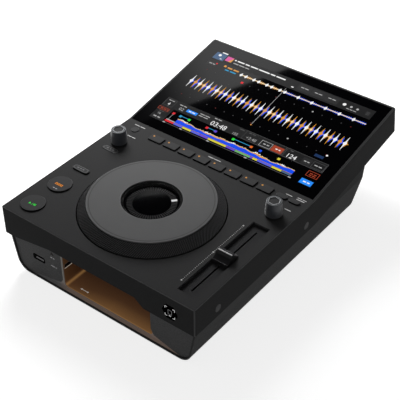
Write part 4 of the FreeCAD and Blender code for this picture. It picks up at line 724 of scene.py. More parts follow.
@dataclass
class FlatArt:
    """Thin flat shapes on a surface, each with its own finish, made into one piece."""

    name: str
    surface: Surface
    finishes: Finishes
    rise: float = 0.06
    shapes: list[tuple[list[Point], str, float]] = field(default_factory=list)

    def shape(self, points: list[Point], finish: str, lift: float = 0.0) -> None:
        """Adds a closed outline."""
        self.shapes.append((points, finish, lift))

    def bar(self, x0: float, x1: float, y0: float, y1: float, finish: str, lift: float = 0.0) -> None:
        """Adds a rectangle."""
        self.shape([(x0, y0), (x1, y0), (x1, y1), (x0, y1)], finish, lift)

    def disc(self, x: float, y: float, radius: float, finish: str, lift: float = 0.0, sides: int = 24) -> None:
        """Adds a disc."""
        turns = [2 * math.pi * step / sides for step in range(sides)]
        self.shape([(x + radius * math.cos(turn), y + radius * math.sin(turn)) for turn in turns], finish, lift)

    def frame(self, x0: float, x1: float, y0: float, y1: float, wide: float, finish: str,
              lift: float = 0.0) -> None:
        """Adds a rectangle's outline.

        Args:
            x0: its left.
            x1: its right.
            y0: its lower edge.
            y1: its upper edge.
            wide: the line's width.
            finish: the line's finish.
            lift: its height above the other shapes.
        """
        self.bar(x0, x1, y0, y0 + wide, finish, lift)
        self.bar(x0, x1, y1 - wide, y1, finish, lift)
        self.bar(x0, x0 + wide, y0 + wide, y1 - wide, finish, lift)
        self.bar(x1 - wide, x1, y0 + wide, y1 - wide, finish, lift)

    def band(self, outer: list[Point], inner: list[Point], finish: str, lift: float = 0.0) -> None:
        """Adds what lies between two outlines.

        Args:
            outer: the outer outline.
            inner: the inner one, with as many corners.
            finish: the band's finish.
            lift: its height above the other shapes.
        """
        for step in range(len(outer)):
            after = (step + 1) % len(outer)
            self.shape([outer[step], outer[after], inner[after], inner[step]], finish, lift)

    def words(self, x: float, y: float, lengths: Sequence[float], tall: float, finish: str,
              lift: float = 0.02) -> None:
        """Adds a row of plain dashes where a line of print would be.

        Args:
            x: the row's left.
            y: its lower edge.
            lengths: the dashes' lengths.
            tall: their height.
            finish: their finish.
            lift: their height above the other shapes.
        """
        for length in lengths:
            self.bar(x, x + length, y, y + tall, finish, lift)
            x += length + tall * 0.9

    def digits(self, text: str, x: float, y: float, tall: float, finish: str, lift: float = 0.02) -> None:
        """Adds plain numbers.

        Args:
            text: the numbers.
            x: their left.
            y: their lower edge.
            tall: their height.
            finish: their finish.
            lift: their height above the other shapes.
        """
        curve = bpy.data.curves.new("digits", "FONT")
        curve.body = text
        curve.size = tall * 1.38
        word = bpy.data.objects.new("digits", curve)
        bpy.context.scene.collection.objects.link(word)
        bpy.context.view_layer.update()
        mesh = bpy.data.meshes.new_from_object(word.evaluated_get(bpy.context.evaluated_depsgraph_get()))
        for face in mesh.polygons:
            corners = [mesh.vertices[index].co for index in face.vertices]
            self.shape([(x + corner.x, y + corner.y) for corner in corners], finish, lift)
        bpy.data.objects.remove(word)
        bpy.data.curves.remove(curve)
        bpy.data.meshes.remove(mesh)

    def build(self, body: str, slot: str) -> bpy.types.Object:
        """Makes the shapes one piece, each facing away from the surface.

        Args:
            body: the body that it rides on.
            slot: a material slot's name, which is not used.

        Returns:
            The piece's object.
        """
        build = bmesh.new()
        names = list(dict.fromkeys(finish for _, finish, _ in self.shapes))
        for points, finish, lift in self.shapes:
            face = build.faces.new([build.verts.new(self.surface(x, y, self.rise + lift)) for x, y in points])
            face.normal_update()
            if face.normal.dot(self.surface(*points[0], 1.0) - self.surface(*points[0], 0.0)) < 0:
                face.normal_flip()
            face.material_index = names.index(finish)
        mesh = bpy.data.meshes.new(self.name)
        build.to_mesh(mesh)
        build.free()
        for name in names:
            mesh.materials.append(self.finishes[name])
        return new_piece(self.name, mesh, body)


def loft(name: str, rings: list[list[Vector]], caps: tuple[bool, bool] = (False, False)) -> bpy.types.Mesh:
    """A mesh through closed rings of equal length.

    Args:
        name: the mesh's name.
        rings: the rings, in order.
        caps: whether the first and the last ring are closed.

    Returns:
        The mesh, its faces outwards.
    """
    build = bmesh.new()
    rows = [[build.verts.new(point) for point in ring] for ring in rings]
    for low, high in zip(rows, rows[1:]):
        for step in range(len(low)):
            after = (step + 1) % len(low)
            build.faces.new((low[step], low[after], high[after], high[step]))
    if caps[0]:
        build.faces.new(rows[0][::-1])
    if caps[1]:
        build.faces.new(rows[-1])
    bmesh.ops.recalc_face_normals(build, faces=build.faces)
    mesh = bpy.data.meshes.new(name)
    build.to_mesh(mesh)
    build.free()
    return mesh


def ring_of(radius: float, rise: float, sides: int = 96) -> list[Vector]:
    """A level ring about the origin, in millimetres."""
    turns = [2 * math.pi * step / sides for step in range(sides)]
    return [Vector((radius * math.cos(turn), radius * math.sin(turn), rise)) * MM for turn in turns]


def rings_at(centre: Vector, outline: list[Point], sides: int) -> list[list[Vector]]:
    """Level rings about a point, from their radii and heights in millimetres."""
    return [[centre + point for point in ring_of(radius, rise, sides)] for radius, rise in outline]


def cut_corners(across: float, tall: float, cut: float) -> list[Point]:
    """A rectangle about the origin from its half sizes, its corners cut off."""
    return [(cut - across, -tall), (across - cut, -tall), (across, cut - tall), (across, tall - cut),
            (across - cut, tall), (cut - across, tall), (-across, tall - cut), (-across, cut - tall)]


def pill(across: float, tall: float, sides: int = 24) -> list[Point]:
    """A pill's outline about the origin.

    Args:
        across: half its length.
        tall: half its height.
        sides: how many corners it has.

    Returns:
        The outline.
    """
    points = []
    for step in range(sides):
        turn = 2 * math.pi * (step + 0.5) / sides
        middle = math.copysign(across - tall, math.cos(turn))
        points.append((middle + tall * math.cos(turn), tall * math.sin(turn)))
    return points


class Repeat:
    """Geometry nodes that repeat a mesh by a turn about Z, a step along a line, or both."""

    def __init__(self) -> None:
        """Builds the node tree once."""
        tree = bpy.data.node_groups.new("repeat_along", "GeometryNodeTree")
        kinds = (("Geometry", "Geometry"), ("Count", "Int"), ("Turn", "Float"), ("Step", "Vector"),
                 ("Finish", "Material"))
        self.sockets = {
            name: tree.interface.new_socket(name, in_out="INPUT", socket_type="NodeSocket" + kind).identifier
            for name, kind in kinds
        }
        tree.interface.new_socket("Geometry", in_out="OUTPUT", socket_type="NodeSocketGeometry")
        start = tree.nodes.new("NodeGroupInput")
        points = tree.nodes.new("GeometryNodePoints")
        index = tree.nodes.new("GeometryNodeInputIndex")
        along = tree.nodes.new("ShaderNodeVectorMath")
        along.operation = "SCALE"
        turn = tree.nodes.new("ShaderNodeMath")
        turn.operation = "MULTIPLY"
        angles = tree.nodes.new("ShaderNodeCombineXYZ")
        copies = tree.nodes.new("GeometryNodeInstanceOnPoints")
        real = tree.nodes.new("GeometryNodeRealizeInstances")
        finish = tree.nodes.new("GeometryNodeSetMaterial")
        end = tree.nodes.new("NodeGroupOutput")
        for source, target in (
            (start.outputs["Count"], points.inputs["Count"]), (start.outputs["Step"], along.inputs[0]),
            (index.outputs[0], along.inputs["Scale"]), (along.outputs[0], points.inputs["Position"]),
            (index.outputs[0], turn.inputs[0]), (start.outputs["Turn"], turn.inputs[1]),
            (turn.outputs[0], angles.inputs["Z"]), (points.outputs[0], copies.inputs["Points"]),
            (start.outputs["Geometry"], copies.inputs["Instance"]),
            (angles.outputs[0], copies.inputs["Rotation"]),
            (copies.outputs[0], real.inputs[0]), (real.outputs[0], finish.inputs["Geometry"]),
            (start.outputs["Finish"], finish.inputs["Material"]), (finish.outputs[0], end.inputs[0]),
        ):
            tree.links.new(source, target)
        self.tree = tree

    def mesh(self, seed: bpy.types.Mesh, count: int, finish: bpy.types.Material, turn: float = 0.0,
             step: Vector = Vector(), at: Vector = Vector()) -> bpy.types.Mesh:
        """Repeats a mesh.

        Args:
            seed: the mesh to repeat, about the origin.
            count: how many.
            finish: the material of all.
            turn: the turn about Z from one to the next, in radians.
            step: the shift from one to the next.
            at: where the origin goes.

        Returns:
            One plain mesh.
        """
        base = bpy.data.objects.new("seed", seed)
        bpy.context.scene.collection.objects.link(base)
        modifier = base.modifiers.new("repeat", "NODES")
        modifier.node_group = self.tree
        for name, value in (("Count", count), ("Turn", turn), ("Step", step), ("Finish", finish)):
            modifier[self.sockets[name]] = value
        bpy.context.view_layer.update()
        made = bpy.data.meshes.new_from_object(base.evaluated_get(bpy.context.evaluated_depsgraph_get()))
        made.transform(Matrix.Translation(at))
        base.modifiers.remove(modifier)
        bpy.data.objects.remove(base)
        return made


@dataclass(frozen=True)
class SoftLight:
    """A square soft light: its place and size in metres, and its power."""

    name: str
    at: Place
    size: float
    watts: float


@dataclass
class Studio:
    """Camera, floor, soft lights and the cards that dark glass reflects, in metres and degrees."""

    eye: Place = (0.6983, -0.91363, 0.9652)
    azimuth: float = 37.94
    elevation: float = 38.69
    roll: float = -0.41
    lens: float = 94.28
    aim: Place = (0.0, 0.0, 0.08)
    ambient: float = 0.15
    backdrop: float = 1.0
    floor_tone: float = 0.45
    floor_lift: float = 0.8
    floor_reach: float = 12.0
    key: SoftLight = SoftLight("key_light", (-0.44, 0.32, 0.62), 0.45, 8.9)
    front: SoftLight = SoftLight("front_light", (0.9, -1.6, 0.9), 1.2, 2.0)
    card_edge: Place = (-0.3345, 0.5652, 0.656)
    card_along: Place = (0.625, 0.78, 0.0)
    card_reach: float = 4.0
    card_climb: float = 1.5
    card_run: Point = (-0.12, 0.12)
    card_tones: Sequence[Point] = (
        (0.0, 0.02), (0.125, 0.05), (0.342, 0.16), (0.558, 0.54), (0.78, 0.9), (1.0, 1.0),
    )

    def build(self) -> None:
        """Makes the whole set."""
        bpy.context.scene.view_settings.view_transform = "Standard"
        self.camera()
        self.world()
        self.floor()
        self.light(self.key)
        self.light(self.front)
        self.cards()

    def camera(self) -> None:
        """The camera at the photograph's place."""
        a, e, r = math.radians(self.azimuth), math.radians(self.elevation), math.radians(self.roll)
        ahead = Vector((-math.sin(a) * math.cos(e), math.cos(a) * math.cos(e), -math.sin(e)))
        right = Vector((math.cos(a), math.sin(a), 0.0))
        up = right.cross(ahead)
        tilted_right = right * math.cos(r) + up * math.sin(r)
        tilted_up = up * math.cos(r) - right * math.sin(r)
        data = bpy.data.cameras.new("photo_camera")
        data.lens = self.lens
        data.sensor_width = 36.0
        data.clip_end = 50.0
        eye = bpy.data.objects.new("photo_camera", data)
        turn = Matrix((tilted_right, tilted_up, -ahead)).transposed().to_4x4()
        eye.matrix_world = Matrix.Translation(self.eye) @ turn
        bpy.context.scene.collection.objects.link(eye)
        bpy.context.scene.camera = eye

    @staticmethod
    def backdrop_share(tree: bpy.types.NodeTree) -> Socket:
        """One where a camera, glossy or transmission ray sees the backdrop.

        Args:
            tree: the node tree that asks.

        Returns:
            The value's socket.
        """
        path = tree.nodes.new("ShaderNodeLightPath")
        total = path.outputs["Is Camera Ray"]
        for name in ("Is Glossy Ray", "Is Transmission Ray"):
            node = tree.nodes.new("ShaderNodeMath")
            node.operation = "MAXIMUM"
            tree.links.new(total, node.inputs[0])
            tree.links.new(path.outputs[name], node.inputs[1])
            total = node.outputs[0]
        return total

    def world(self) -> None:
        """A white backdrop and an even, lower light."""
        world = bpy.data.worlds.new("studio")
        world.use_nodes = True
        tree = world.node_tree
        tree.nodes.clear()
        light = tree.nodes.new("ShaderNodeBackground")
        light.inputs["Strength"].default_value = self.ambient
        light.inputs["Color"].default_value = (1.0, 1.0, 1.0, 1.0)
        white = tree.nodes.new("ShaderNodeBackground")
        white.inputs["Strength"].default_value = self.backdrop
        mix = tree.nodes.new("ShaderNodeMixShader")
        tree.links.new(self.backdrop_share(tree), mix.inputs["Fac"])
        tree.links.new(light.outputs[0], mix.inputs[1])
        tree.links.new(white.outputs[0], mix.inputs[2])
        tree.links.new(mix.outputs[0], tree.nodes.new("ShaderNodeOutputWorld").inputs["Surface"])
        bpy.context.scene.world = world

    def sheet(self, name: str, corners: list[Vector], lines: NodeLines) -> bpy.types.Object:
        """A flat sheet of the set.

        Args:
            name: its name.
            corners: its four corners.
            lines: its material.

        Returns:
            Its object.
        """
        mesh = bpy.data.meshes.new(name)
        mesh.from_pydata(corners, [], [(0, 1, 2, 3)])
        mesh.materials.append(lines.material)
        sheet = bpy.data.objects.new(name, mesh)
        bpy.context.scene.collection.objects.link(sheet)
        return sheet

    def floor(self) -> None:
        """A wide pale floor that keeps a soft shadow."""
        lines = NodeLines("floor_paper")
        shader = lines.shader(0.9, Specular_IOR_Level=0.0)
        shader.inputs["Base Color"].default_value = (self.floor_tone, self.floor_tone, self.floor_tone, 1.0)
        glow = lines.add("ShaderNodeEmission")
        lift = lines.sums("MULTIPLY", self.backdrop_share(lines.tree), self.floor_lift)
        lines.link(lift, glow.inputs["Strength"])
        both = lines.add("ShaderNodeAddShader")
        lines.link(shader.outputs[0], both.inputs[0])
        lines.link(glow.outputs[0], both.inputs[1])
        end = next(node for node in lines.tree.nodes if node.type == "OUTPUT_MATERIAL")
        lines.link(both.outputs[0], end.inputs["Surface"])
        signs = ((-1, -1), (1, -1), (1, 1), (-1, 1))
        floor = self.sheet("floor", [Vector((x, y, 0)) * self.floor_reach for x, y in signs], lines)

    def light(self, soft: SoftLight) -> None:
        """A soft light, aimed at the player.

        Args:
            soft: the light.
        """
        data = bpy.data.lights.new(soft.name, "AREA")
        data.size, data.energy = soft.size, soft.watts
        lamp = bpy.data.objects.new(soft.name, data)
        ahead = Vector(self.aim) - Vector(soft.at)
        lamp.matrix_world = Matrix.Translation(soft.at) @ ahead.to_track_quat("-Z", "Y").to_matrix().to_4x4()
        lamp.visible_camera = False
        lamp.visible_glossy = False
        bpy.context.scene.collection.objects.link(lamp)

    def cards(self) -> None:
        """A black card and a shaded white one over the set, edge to edge, that only gloss sees."""
        along = Vector(self.card_along).normalized()
        inward = Vector((along.y, -along.x, 0.0))
        edge = Vector(self.card_edge)
        black = NodeLines("black_card")
        shader = black.shader(1.0, Specular_IOR_Level=0.0)
        shader.inputs["Base Color"].default_value = (0.0, 0.0, 0.0, 1.0)
        white = NodeLines("shaded_card")
        run = white.add("ShaderNodeVectorMath", operation="DOT_PRODUCT")
        white.link(white.place(), run.inputs[0])
        run.inputs[1].default_value = along
        reach = white.ranged(run.outputs["Value"], self.card_run)
        glow = white.add("ShaderNodeEmission")
        tones = [(at, (tone, tone, tone)) for at, tone in self.card_tones]
        white.link(white.shades(reach, tones), glow.inputs["Color"])
        white.link(glow.outputs[0], white.add("ShaderNodeOutputMaterial").inputs["Surface"])
        far = along * self.card_reach
        for name, lines, side, climb in (
            ("black_card", black, inward, self.card_climb), ("shaded_card", white, -inward, 0.0),
        ):
            out = side * self.card_reach + Vector((0, 0, climb))
            card = self.sheet(name, [edge - far, edge + far, edge + far + out, edge - far + out], lines)
            card.visible_camera = False
            card.visible_diffuse = False
            card.visible_shadow = False
            card.visible_transmission = False


@dataclass
class Housing:
    """The slab, the base, the recess and what is printed or set in them."""

    frame: dict
    finishes: Finishes

    def dress(self) -> None:
        """Gives every carried-over node its finish."""
        wanted = {
            "deck_paint": ("deck_shell",), "base_texture": ("base_shell",),
            "plate_texture": ("front_plate_left", "front_plate_right"),
            "bronze_lacquer_painted_light": ("recess_tray",), "plug_satin": ("side_plugs",),
            "foot_rubber": ("rubber_feet",), "black_zinc": ("base_screws",),
            "socket_plating": ("usb_a_socket", "data_sockets"),
            "inner_black": ("front_port_socket", "display_panel", "jog_post", "jog_pan", "power_inlet"),
            "lamp_window": ("port_indicator",), "icon_gloss": ("icon_window",),
            "screen_glass": ("display_glass", "jog_display"), "window_glass": ("jog_window",),
            "plated_steel": ("display_bracket", "jog_encoder_disc", "left_encoder", "right_encoder",
                             "slider_unit"),
            "natural_nylon": ("jog_bush", "tempo_carriage"),
            "board_green": ("jog_sensor", "left_button_board", "top_button_board", "main_board", "power_board"),
            "ring_rubber": ("jog_ring",), "jog_satin": ("jog_plate",), "plain_brass": ("board_standoffs",),
            "turned_steel": ("left_shaft", "right_shaft"), "knob_rubber": ("left_knob", "right_knob"),
            "trough_satin": ("slider_trough",), "slider_satin": ("tempo_cap",),
            "panel_black": ("rear_panel",), "gold_plating": ("rca_sockets",),
            "key_satin": ("power_button", "play_button", "cue_button", "loop_button", "sync_button",
                          "source_button", "back_button", "menu_button"),
        }
        given = {node: finish for finish, nodes in wanted.items() for node in nodes}
        for name, node in self.frame["nodes"].items():
            finish = self.finishes[given.get(name, "pad_satin")]
            node.data.materials.clear()
            node.data.materials.append(finish)

    def build(self) -> None:
        """Adds the marks on the case."""
        self.icon()
        self.plate_marks()
        self.recess_marks()
        self.plate_rim()
        self.side_dots()

    def icon(self) -> None:
        """Corner brackets, a plain square and a dash in the hexagonal window."""
        art = FlatArt("icon_marks", LAYOUT.on_front, self.finishes)
        x, drop, reach, arm, half = 122.4, 24.2, 7.4, 3.2, 0.45
        for side in (-1, 1):
            for rise in (-1, 1):
                corner = (x + side * reach, drop + rise * reach)
                tips = sorted((corner[0], corner[0] - side * arm))
                art.bar(*tips, corner[1] - half, corner[1] + half, "mark_white")
                ends = sorted((corner[1], corner[1] - rise * arm))
                art.bar(corner[0] - half, corner[0] + half, *ends, "mark_white")
        art.frame(x - 3, x + 3, drop - 3.6, drop + 3.6, 0.6, "pixel_grey")
        art.bar(x - 1.6, x + 1.6, drop + 5.2, drop + 6.4, "mark_white")
        art.build(Body.HOUSING.value, "window_black")

    def plate_marks(self) -> None:
        """Printed dashes beside the lamp and the port, which also glow as painted light."""
        art = FlatArt("plate_marks", LAYOUT.on_plates, self.finishes)
        art.words(-86.0, 53.6, [3.6, 2.4], 1.6, "glowing_plate_print")
        art.words(-86.6, 68.2, [7.2, 2.4], 1.4, "glowing_plate_print")
        art.build(Body.HOUSING.value, "plate_grey")

    def recess_marks(self) -> None:
        """A printed arrow on the recess's floor, towards the side socket, which also glows as painted light."""

        def on_floor(x: float, y: float, rise: float) -> Vector:
            """A point on the recess's floor."""
            return Vector((x, LAYOUT.front + y, LAYOUT.deck - 97.2 + rise)) * MM

        art = FlatArt("recess_mark", on_floor, self.finishes)
        art.bar(-44.5, -35.0, 19.1, 20.1, "glowing_recess_print")
        art.shape([(-47.4, 19.6), (-44.3, 17.9), (-44.3, 21.3)], "glowing_recess_print")
        art.disc(-34.6, 19.6, 1.3, "glowing_recess_print")
        art.build(Body.HOUSING.value, "bronze")

    def plate_rim(self) -> None:
        """The lit edge of the left plate, beside the recess."""

        def on_edge(y: float, z: float, rise: float) -> Vector:
            """A point on the plate's edge."""
            return Vector((-67.0 + rise, LAYOUT.front + y, z)) * MM

        art = FlatArt("plate_rim_light", on_edge, self.finishes)
        art.bar(8.1, 10.4, 16.0, 74.0, "plate_rim_light")
        art.build(Body.HOUSING.value, "plate_grey")

    def side_dots(self) -> None:
        """Black discs for small blind screw holes in the screen's sides: painted shade in the holes."""
        art = FlatArt("side_dots", self.screen_side, self.finishes)
        for along in (99.0, 169.0):
            art.disc(along, 25.5, 0.9, "inner_black")
        art.build(Body.HOUSING.value, "plug_grey")

    @staticmethod
    def screen_side(along: float, down: float, rise: float) -> Vector:
        """A point on the screen's right side."""
        point = LAYOUT.on_screen(0, along, -down)
        return point + Vector(((LAYOUT.half_width + rise) * MM, 0.0, 0.0))


@dataclass
class Screen:
    """The lit picture on the touch screen: waveforms, readouts and plain tiles."""

    finishes: Finishes
    thin_line: float = 158.3
    main_line: float = 111.4
    beat: float = 15.72
    track: Point = (-96.0, 106.5)
    track_foot: float = 25.4
    track_steps: int = 81

    def build(self) -> None:
        """Draws the picture just above the glass."""
        art = FlatArt("screen_picture", LAYOUT.on_screen, self.finishes, 0.05)
        for part in (self.header, self.small_wave, self.large_wave, self.readouts, self.overview):
            part(art)
        art.build(Body.HOUSING.value, "screen_panel")

    def header(self, art: FlatArt) -> None:
        """Top bar with a tile, dashes and three keys.

        Args:
            art: the picture that the shapes go into.
        """
        art.bar(-136, 140.4, 168.6, 188.2, "pixel_bar")
        art.bar(-136, -116.8, 169.8, 185, "pixel_slate", 0.01)
        art.disc(-128, 180, 2.6, "pixel_white", 0.02, 12)
        art.words(-124, 172.5, [3.4], 1.4, "pixel_white", 0.02)
        art.words(-128, 186, [10], 2.2, "pixel_white")
        art.bar(-115, -103.5, 173.5, 184, "pixel_pink", 0.01)
        art.shape([(-109, 173.5), (-103.5, 173.5), (-103.5, 184)], "pixel_orange", 0.02)
        art.words(-101, 180.2, [3.0, 12.5, 7.5, 13, 19, 8, 16], 2.4, "pixel_white")
        art.words(-99, 173.8, [9, 9.5, 7], 1.8, "pixel_light")
        art.words(6.5, 172.4, [4], 1.8, "pixel_white")
        for x in (15, 38.5, 61.5):
            art.bar(x, x + 22.5, 172, 186.5, "pixel_tile", 0.01)
            art.words(x + 5, 178.6, [5.4, 5.8], 1.5, "pixel_light")
        art.disc(93.9, 178.8, 2.7, "pixel_white", 0.02)
        for x in (105.2, 115.4):
            art.disc(x, 178.8, 2.0, "pixel_light", 0.02, 12)
        art.words(100, 172.6, [5, 4, 5], 1.2, "pixel_light")
        for v in (175.5, 178, 180.5):
            art.bar(129, 135, v, v + 0.8, "pixel_grey", 0.02)
        art.bar(-137, -119, 153.6, 162.6, "pixel_tile", 0.01)
        art.words(-132.5, 157.4, [5, 4], 1.8, "pixel_light")
        art.disc(-120.4, 161.6, 1.5, "pixel_red", 0.03, 12)
        art.bar(-107.6, -103.6, 160.8, 164.6, "pixel_orange", 0.01)
        art.words(-100.5, 160.6, [8.5, 9.5], 2.6, "pixel_orange")
        art.words(-101.5, 155.0, [7, 10.5], 2.4, "pixel_cyan")

    def small_wave(self, art: FlatArt) -> None:
        """The second deck's thin waveform, orange up to the play line and blue past it.

        Args:
            art: the picture that the shapes go into.
        """
        step, x, v = 0, -73.5, self.thin_line
        while x < 140.0:
            played = x < 1.0
            lobe = abs(math.sin(step * 0.39)) ** 2
            tall = (1.0 + 2.2 * lobe) if played else 2.6 + 0.7 * math.sin(step * 0.9)
            outline = [(x, v), (x + 1.6, v - tall), (x + 3.2, v), (x + 1.6, v + tall)]
            art.shape(outline, "pixel_orange" if played else "pixel_blue", 0.01)
            art.bar(x, x + 3.3, 157.6, 159.2, "pixel_cream", 0.02)
            if step % 8 in (0, 3) and (played or step % 2):
                spread = [(x - 2.2, 158.4), (x + 0.4, 154.6), (x + 3.4, 157.6), (x + 1.2, 162.4)]
                art.shape(spread, "pixel_white", 0.03)
            x += 2.9
            step += 1

    def spike(self, art: FlatArt, x: float, up: float, down: float, wide: float, finish: str,
              lift: float) -> None:
        """One blade of the main waveform, pinched towards both ends.

        Args:
            art: the picture that the shapes go into.
            x: the blade's place across.
            up: its reach above the line.
            down: its reach below it.
            wide: half its width at the line.
            finish: its finish.
            lift: its height above the other shapes.
        """
        v = self.main_line
        outline = [(x - wide, v), (x - wide * 0.3, v - down * 0.28), (x - 0.15, v - down), (x + 0.25, v - down),
                   (x + wide * 0.34, v - down * 0.26), (x + wide, v), (x + wide * 0.3, v + up * 0.26),
                   (x + 0.15, v + up), (x - 0.25, v + up), (x - wide * 0.34, v + up * 0.28)]
        art.shape(outline, finish, lift)

    def large_wave(self, art: FlatArt) -> None:
        """The main waveform's spikes, its beat dots and the play line.

        Args:
            art: the picture that the shapes go into.
        """
        first, count = -130.9, 18
        for step in range(count):
            x = first + step * self.beat
            mid = x + 7.9
            full = step % 2 == 0
            if step < count - 1:
                reach = 9.6 if full else 7.0
                self.spike(art, mid + 1.8, reach, 12.6 if full else 10.4, 4.6, "pixel_blue", 0.01)
                self.spike(art, mid, 11.6 if full else 13.2, 13.6 if full else 15.4, 3.5, "pixel_amber", 0.02)
                self.spike(art, mid, 4.0, 7.0, 2.4, "pixel_orange" if full else "pixel_cream", 0.025)
            self.spike(art, x + 1.7, 4.6, 6.8, 4.4, "pixel_amber" if step % 2 else "pixel_blue", 0.014)
            self.spike(art, x, 13.6, 14.6, 3.0, "pixel_white", 0.03)
        for step in range(-8, 9):
            x = 0.2 + step * self.beat
            radius, tone = (1.0, "pixel_dim" if step % 4 else "pixel_maroon")
            if step == 4:
                radius, tone = (1.4, "pixel_light")
            for v in (143.5, 79.8):
                art.disc(x, v, radius, tone, 0.01, 8)
        art.bar(1.9, 2.5, 76.7, 166.6, "pixel_light", 0.04)
        art.disc(2.2, 77, 1.1, "pixel_orange", 0.05, 12)
        art.bar(-63.6, -59.4, 142.4, 146.4, "pixel_red", 0.02)
        art.bar(112.5, 126.5, 69.8, 74.8, "pixel_navy", 0.02)
        art.disc(128.1, 78.9, 1.6, "pixel_white", 0.02, 12)

    def readouts(self, art: FlatArt) -> None:
        """The bar of numbers and keys under the waveform.

        Args:
            art: the picture that the shapes go into.
        """
        for add, hue, lift, rows in (
            (art.bar, "bar", 0.0, ((-137.5, 140.4, 46.6, 65.4), (-137.5, -114, 17.6, 46.6))),
            (art.bar, "tile", 0.01, ((-137, -115, 18.6, 26.4), (103.4, 117.6, 49.4, 61.4))),
            (art.bar, "sky", 0.01, ((-96, -77.6, 52.0, 57.8), (121.8, 140.4, 17.6, 27.0))),
            (art.bar, "rust", 0.01, ((54.2, 71.8, 48.5, 60.0),)),
            (art.frame, "grey", 0.01, (
                (-137, -119.8, 48.4, 63.4, 0.45), (5.5, 73.0, 47.4, 65.0, 0.45),
                (74.6, 140.0, 47.4, 65.0, 0.45), (119.6, 139.0, 49.4, 61.4, 0.5),
            )),
            (art.frame, "rust", 0.01, ((-138, -118.8, 37.9, 43.9, 0.7), (122.4, 140.4, 33.0, 43.4, 0.8))),
            (art.frame, "light", 0.02, ((34.6, 53.2, 48.6, 59.8, 0.7),)),
            (art.digits, "white", 0.02, (
                ("4", -130.2, 50.6, 6.0), ("03:48", -50.2, 47.9, 8.9), ("124", 78.6, 48.8, 8.2),
            )),
            (art.digits, "light", 0.02, (
                ("16", -131.8, 28.2, 4.6), ("02", -108.6, 50.0, 6.0),
                ("105", -11.6, 48.2, 4.8), ("+2.40", 11.0, 50.4, 5.4),
            )),
            (art.words, "light", 0.02, (
                (-133.5, 60.0, (4.5, 4.5), 1.3), (-133.0, 21.6, (5.5, 4.5), 2.0),
                (-112.3, 59.0, (5.6, 5.2), 1.6), (-74.7, 58.6, (8, 8), 1.4), (-74.7, 54.6, (7, 8), 1.4),
                (-50.6, 61.4, (5, 6), 1.5), (39.6, 53.2, (4.0, 4.0), 2.0),
            )),
            (art.words, "light", 0.03, ((106.6, 54.2, (3.6, 3.4), 1.7), (123.4, 54.2, (5.0, 5.0), 1.7))),
            (art.words, "white", 0.03, (
                (-92.4, 54.1, (4.5, 5), 1.7), (60.0, 53.4, (3.4, 3.0), 1.9), (126.4, 21.3, (4.6, 4.0), 1.9),
            )),
            (art.words, "grey", 0.02, (
                (-132.5, 34.8, (4, 4), 1.1), (-6.0, 61.4, (8,), 1.3), (10.0, 61.4, (5, 5), 1.3),
                (80.0, 61.4, (5,), 1.3),
            )),
            (art.words, "rust", 0.02, (
                (-133.5, 40.0, (4, 4, 2), 1.8), (126.4, 38.4, (5.0, 4.0), 1.5), (126.4, 35.4, (4.0, 5.0), 1.5),
            )),
        ):
            for row in rows:
                add(*row, "pixel_" + hue, lift)

    def overview(self, art: FlatArt) -> None:
        """The whole track's outline, its phrases and its cue flags.

        Args:
            art: the picture that the shapes go into.
        """
        (left, right), base = self.track, self.track_foot
        width = (right - left) / self.track_steps
        for step in range(self.track_steps):
            x = left + step * width
            body = 5.6 + 1.2 * math.sin(step * 0.16 + 1.0) + 0.5 * math.sin(step * 0.83)
            crest = 0.5 + 1.7 * max(0.0, math.sin(step * 0.21 + 2.2))
            crest += 1.5 * abs(math.sin(step * 1.3) * math.sin(step * 2.9))
            peak = base + body + crest
            art.bar(x, x + width, base, base + body, "pixel_blue", 0.01)
            art.bar(x, x + width, base + body, peak, "pixel_orange" if step % 3 else "pixel_amber", 0.01)
            tip = 0.6 + 2.4 * max(0.0, math.sin(step * 0.37)) ** 3 * abs(math.sin(step * 2.3))
            art.shape([(x - 0.6, peak - 0.3), (x + width + 0.6, peak - 0.3), (x + width / 2, peak + tip)],
                      "pixel_white" if tip > 1.0 else "pixel_cream", 0.02)
        art.bar(-111.5, left, 25.0, 26.6, "pixel_light", 0.01)
        art.bar(left, right, 24.8, 25.3, "pixel_amber", 0.02)
        phrases = (
            (-96, "pixel_red"), (-80, "pixel_indigo"), (-64.5, "pixel_yellow"), (-49, "pixel_indigo"),
            (-34, "pixel_violet"), (-2.3, "pixel_yellow"), (13, "pixel_violet"), (38.8, "pixel_leaf"),
            (43, "pixel_violet"), (51, "pixel_yellow"), (74.9, "pixel_indigo"), (90.9, "pixel_yellow"),
            (106.4, "pixel_slate"),
        )
        start = -112.0
        for end, hue in phrases:
            art.bar(start, end - 0.3, 21.4, 24.6, hue, 0.01)
            start = end
        art.bar(-108, 108.4, 18.4, 19.1, "pixel_grey", 0.01)
        for x in (-110.8, -80.1, -31.5, 33.6, 106.5):
            art.bar(x - 2.2, x + 2.2, 17.9, 19.7, "pixel_light", 0.02)
        art.bar(-108.9, -108.3, 26.0, 40.0, "pixel_light", 0.02)
        for x, hue in (
            (-108.9, "pixel_red"), (-96.4, "pixel_cyan"), (-80.6, "pixel_green"), (-48.5, "pixel_red"),
            (-33.4, "pixel_violet"), (-2.0, "pixel_green"), (28.7, "pixel_ember"), (44.2, "pixel_blue"),
            (75.1, "pixel_yellow"),
        ):
            art.bar(x - 2.1, x + 2.1, 38.2, 42.2, hue, 0.03)
        for start, end in ((-94, -83), (-46.4, -35.5), (0.5, 26.5)):
            art.bar(start, end, 40.4, 41.4, "pixel_cyan", 0.01)


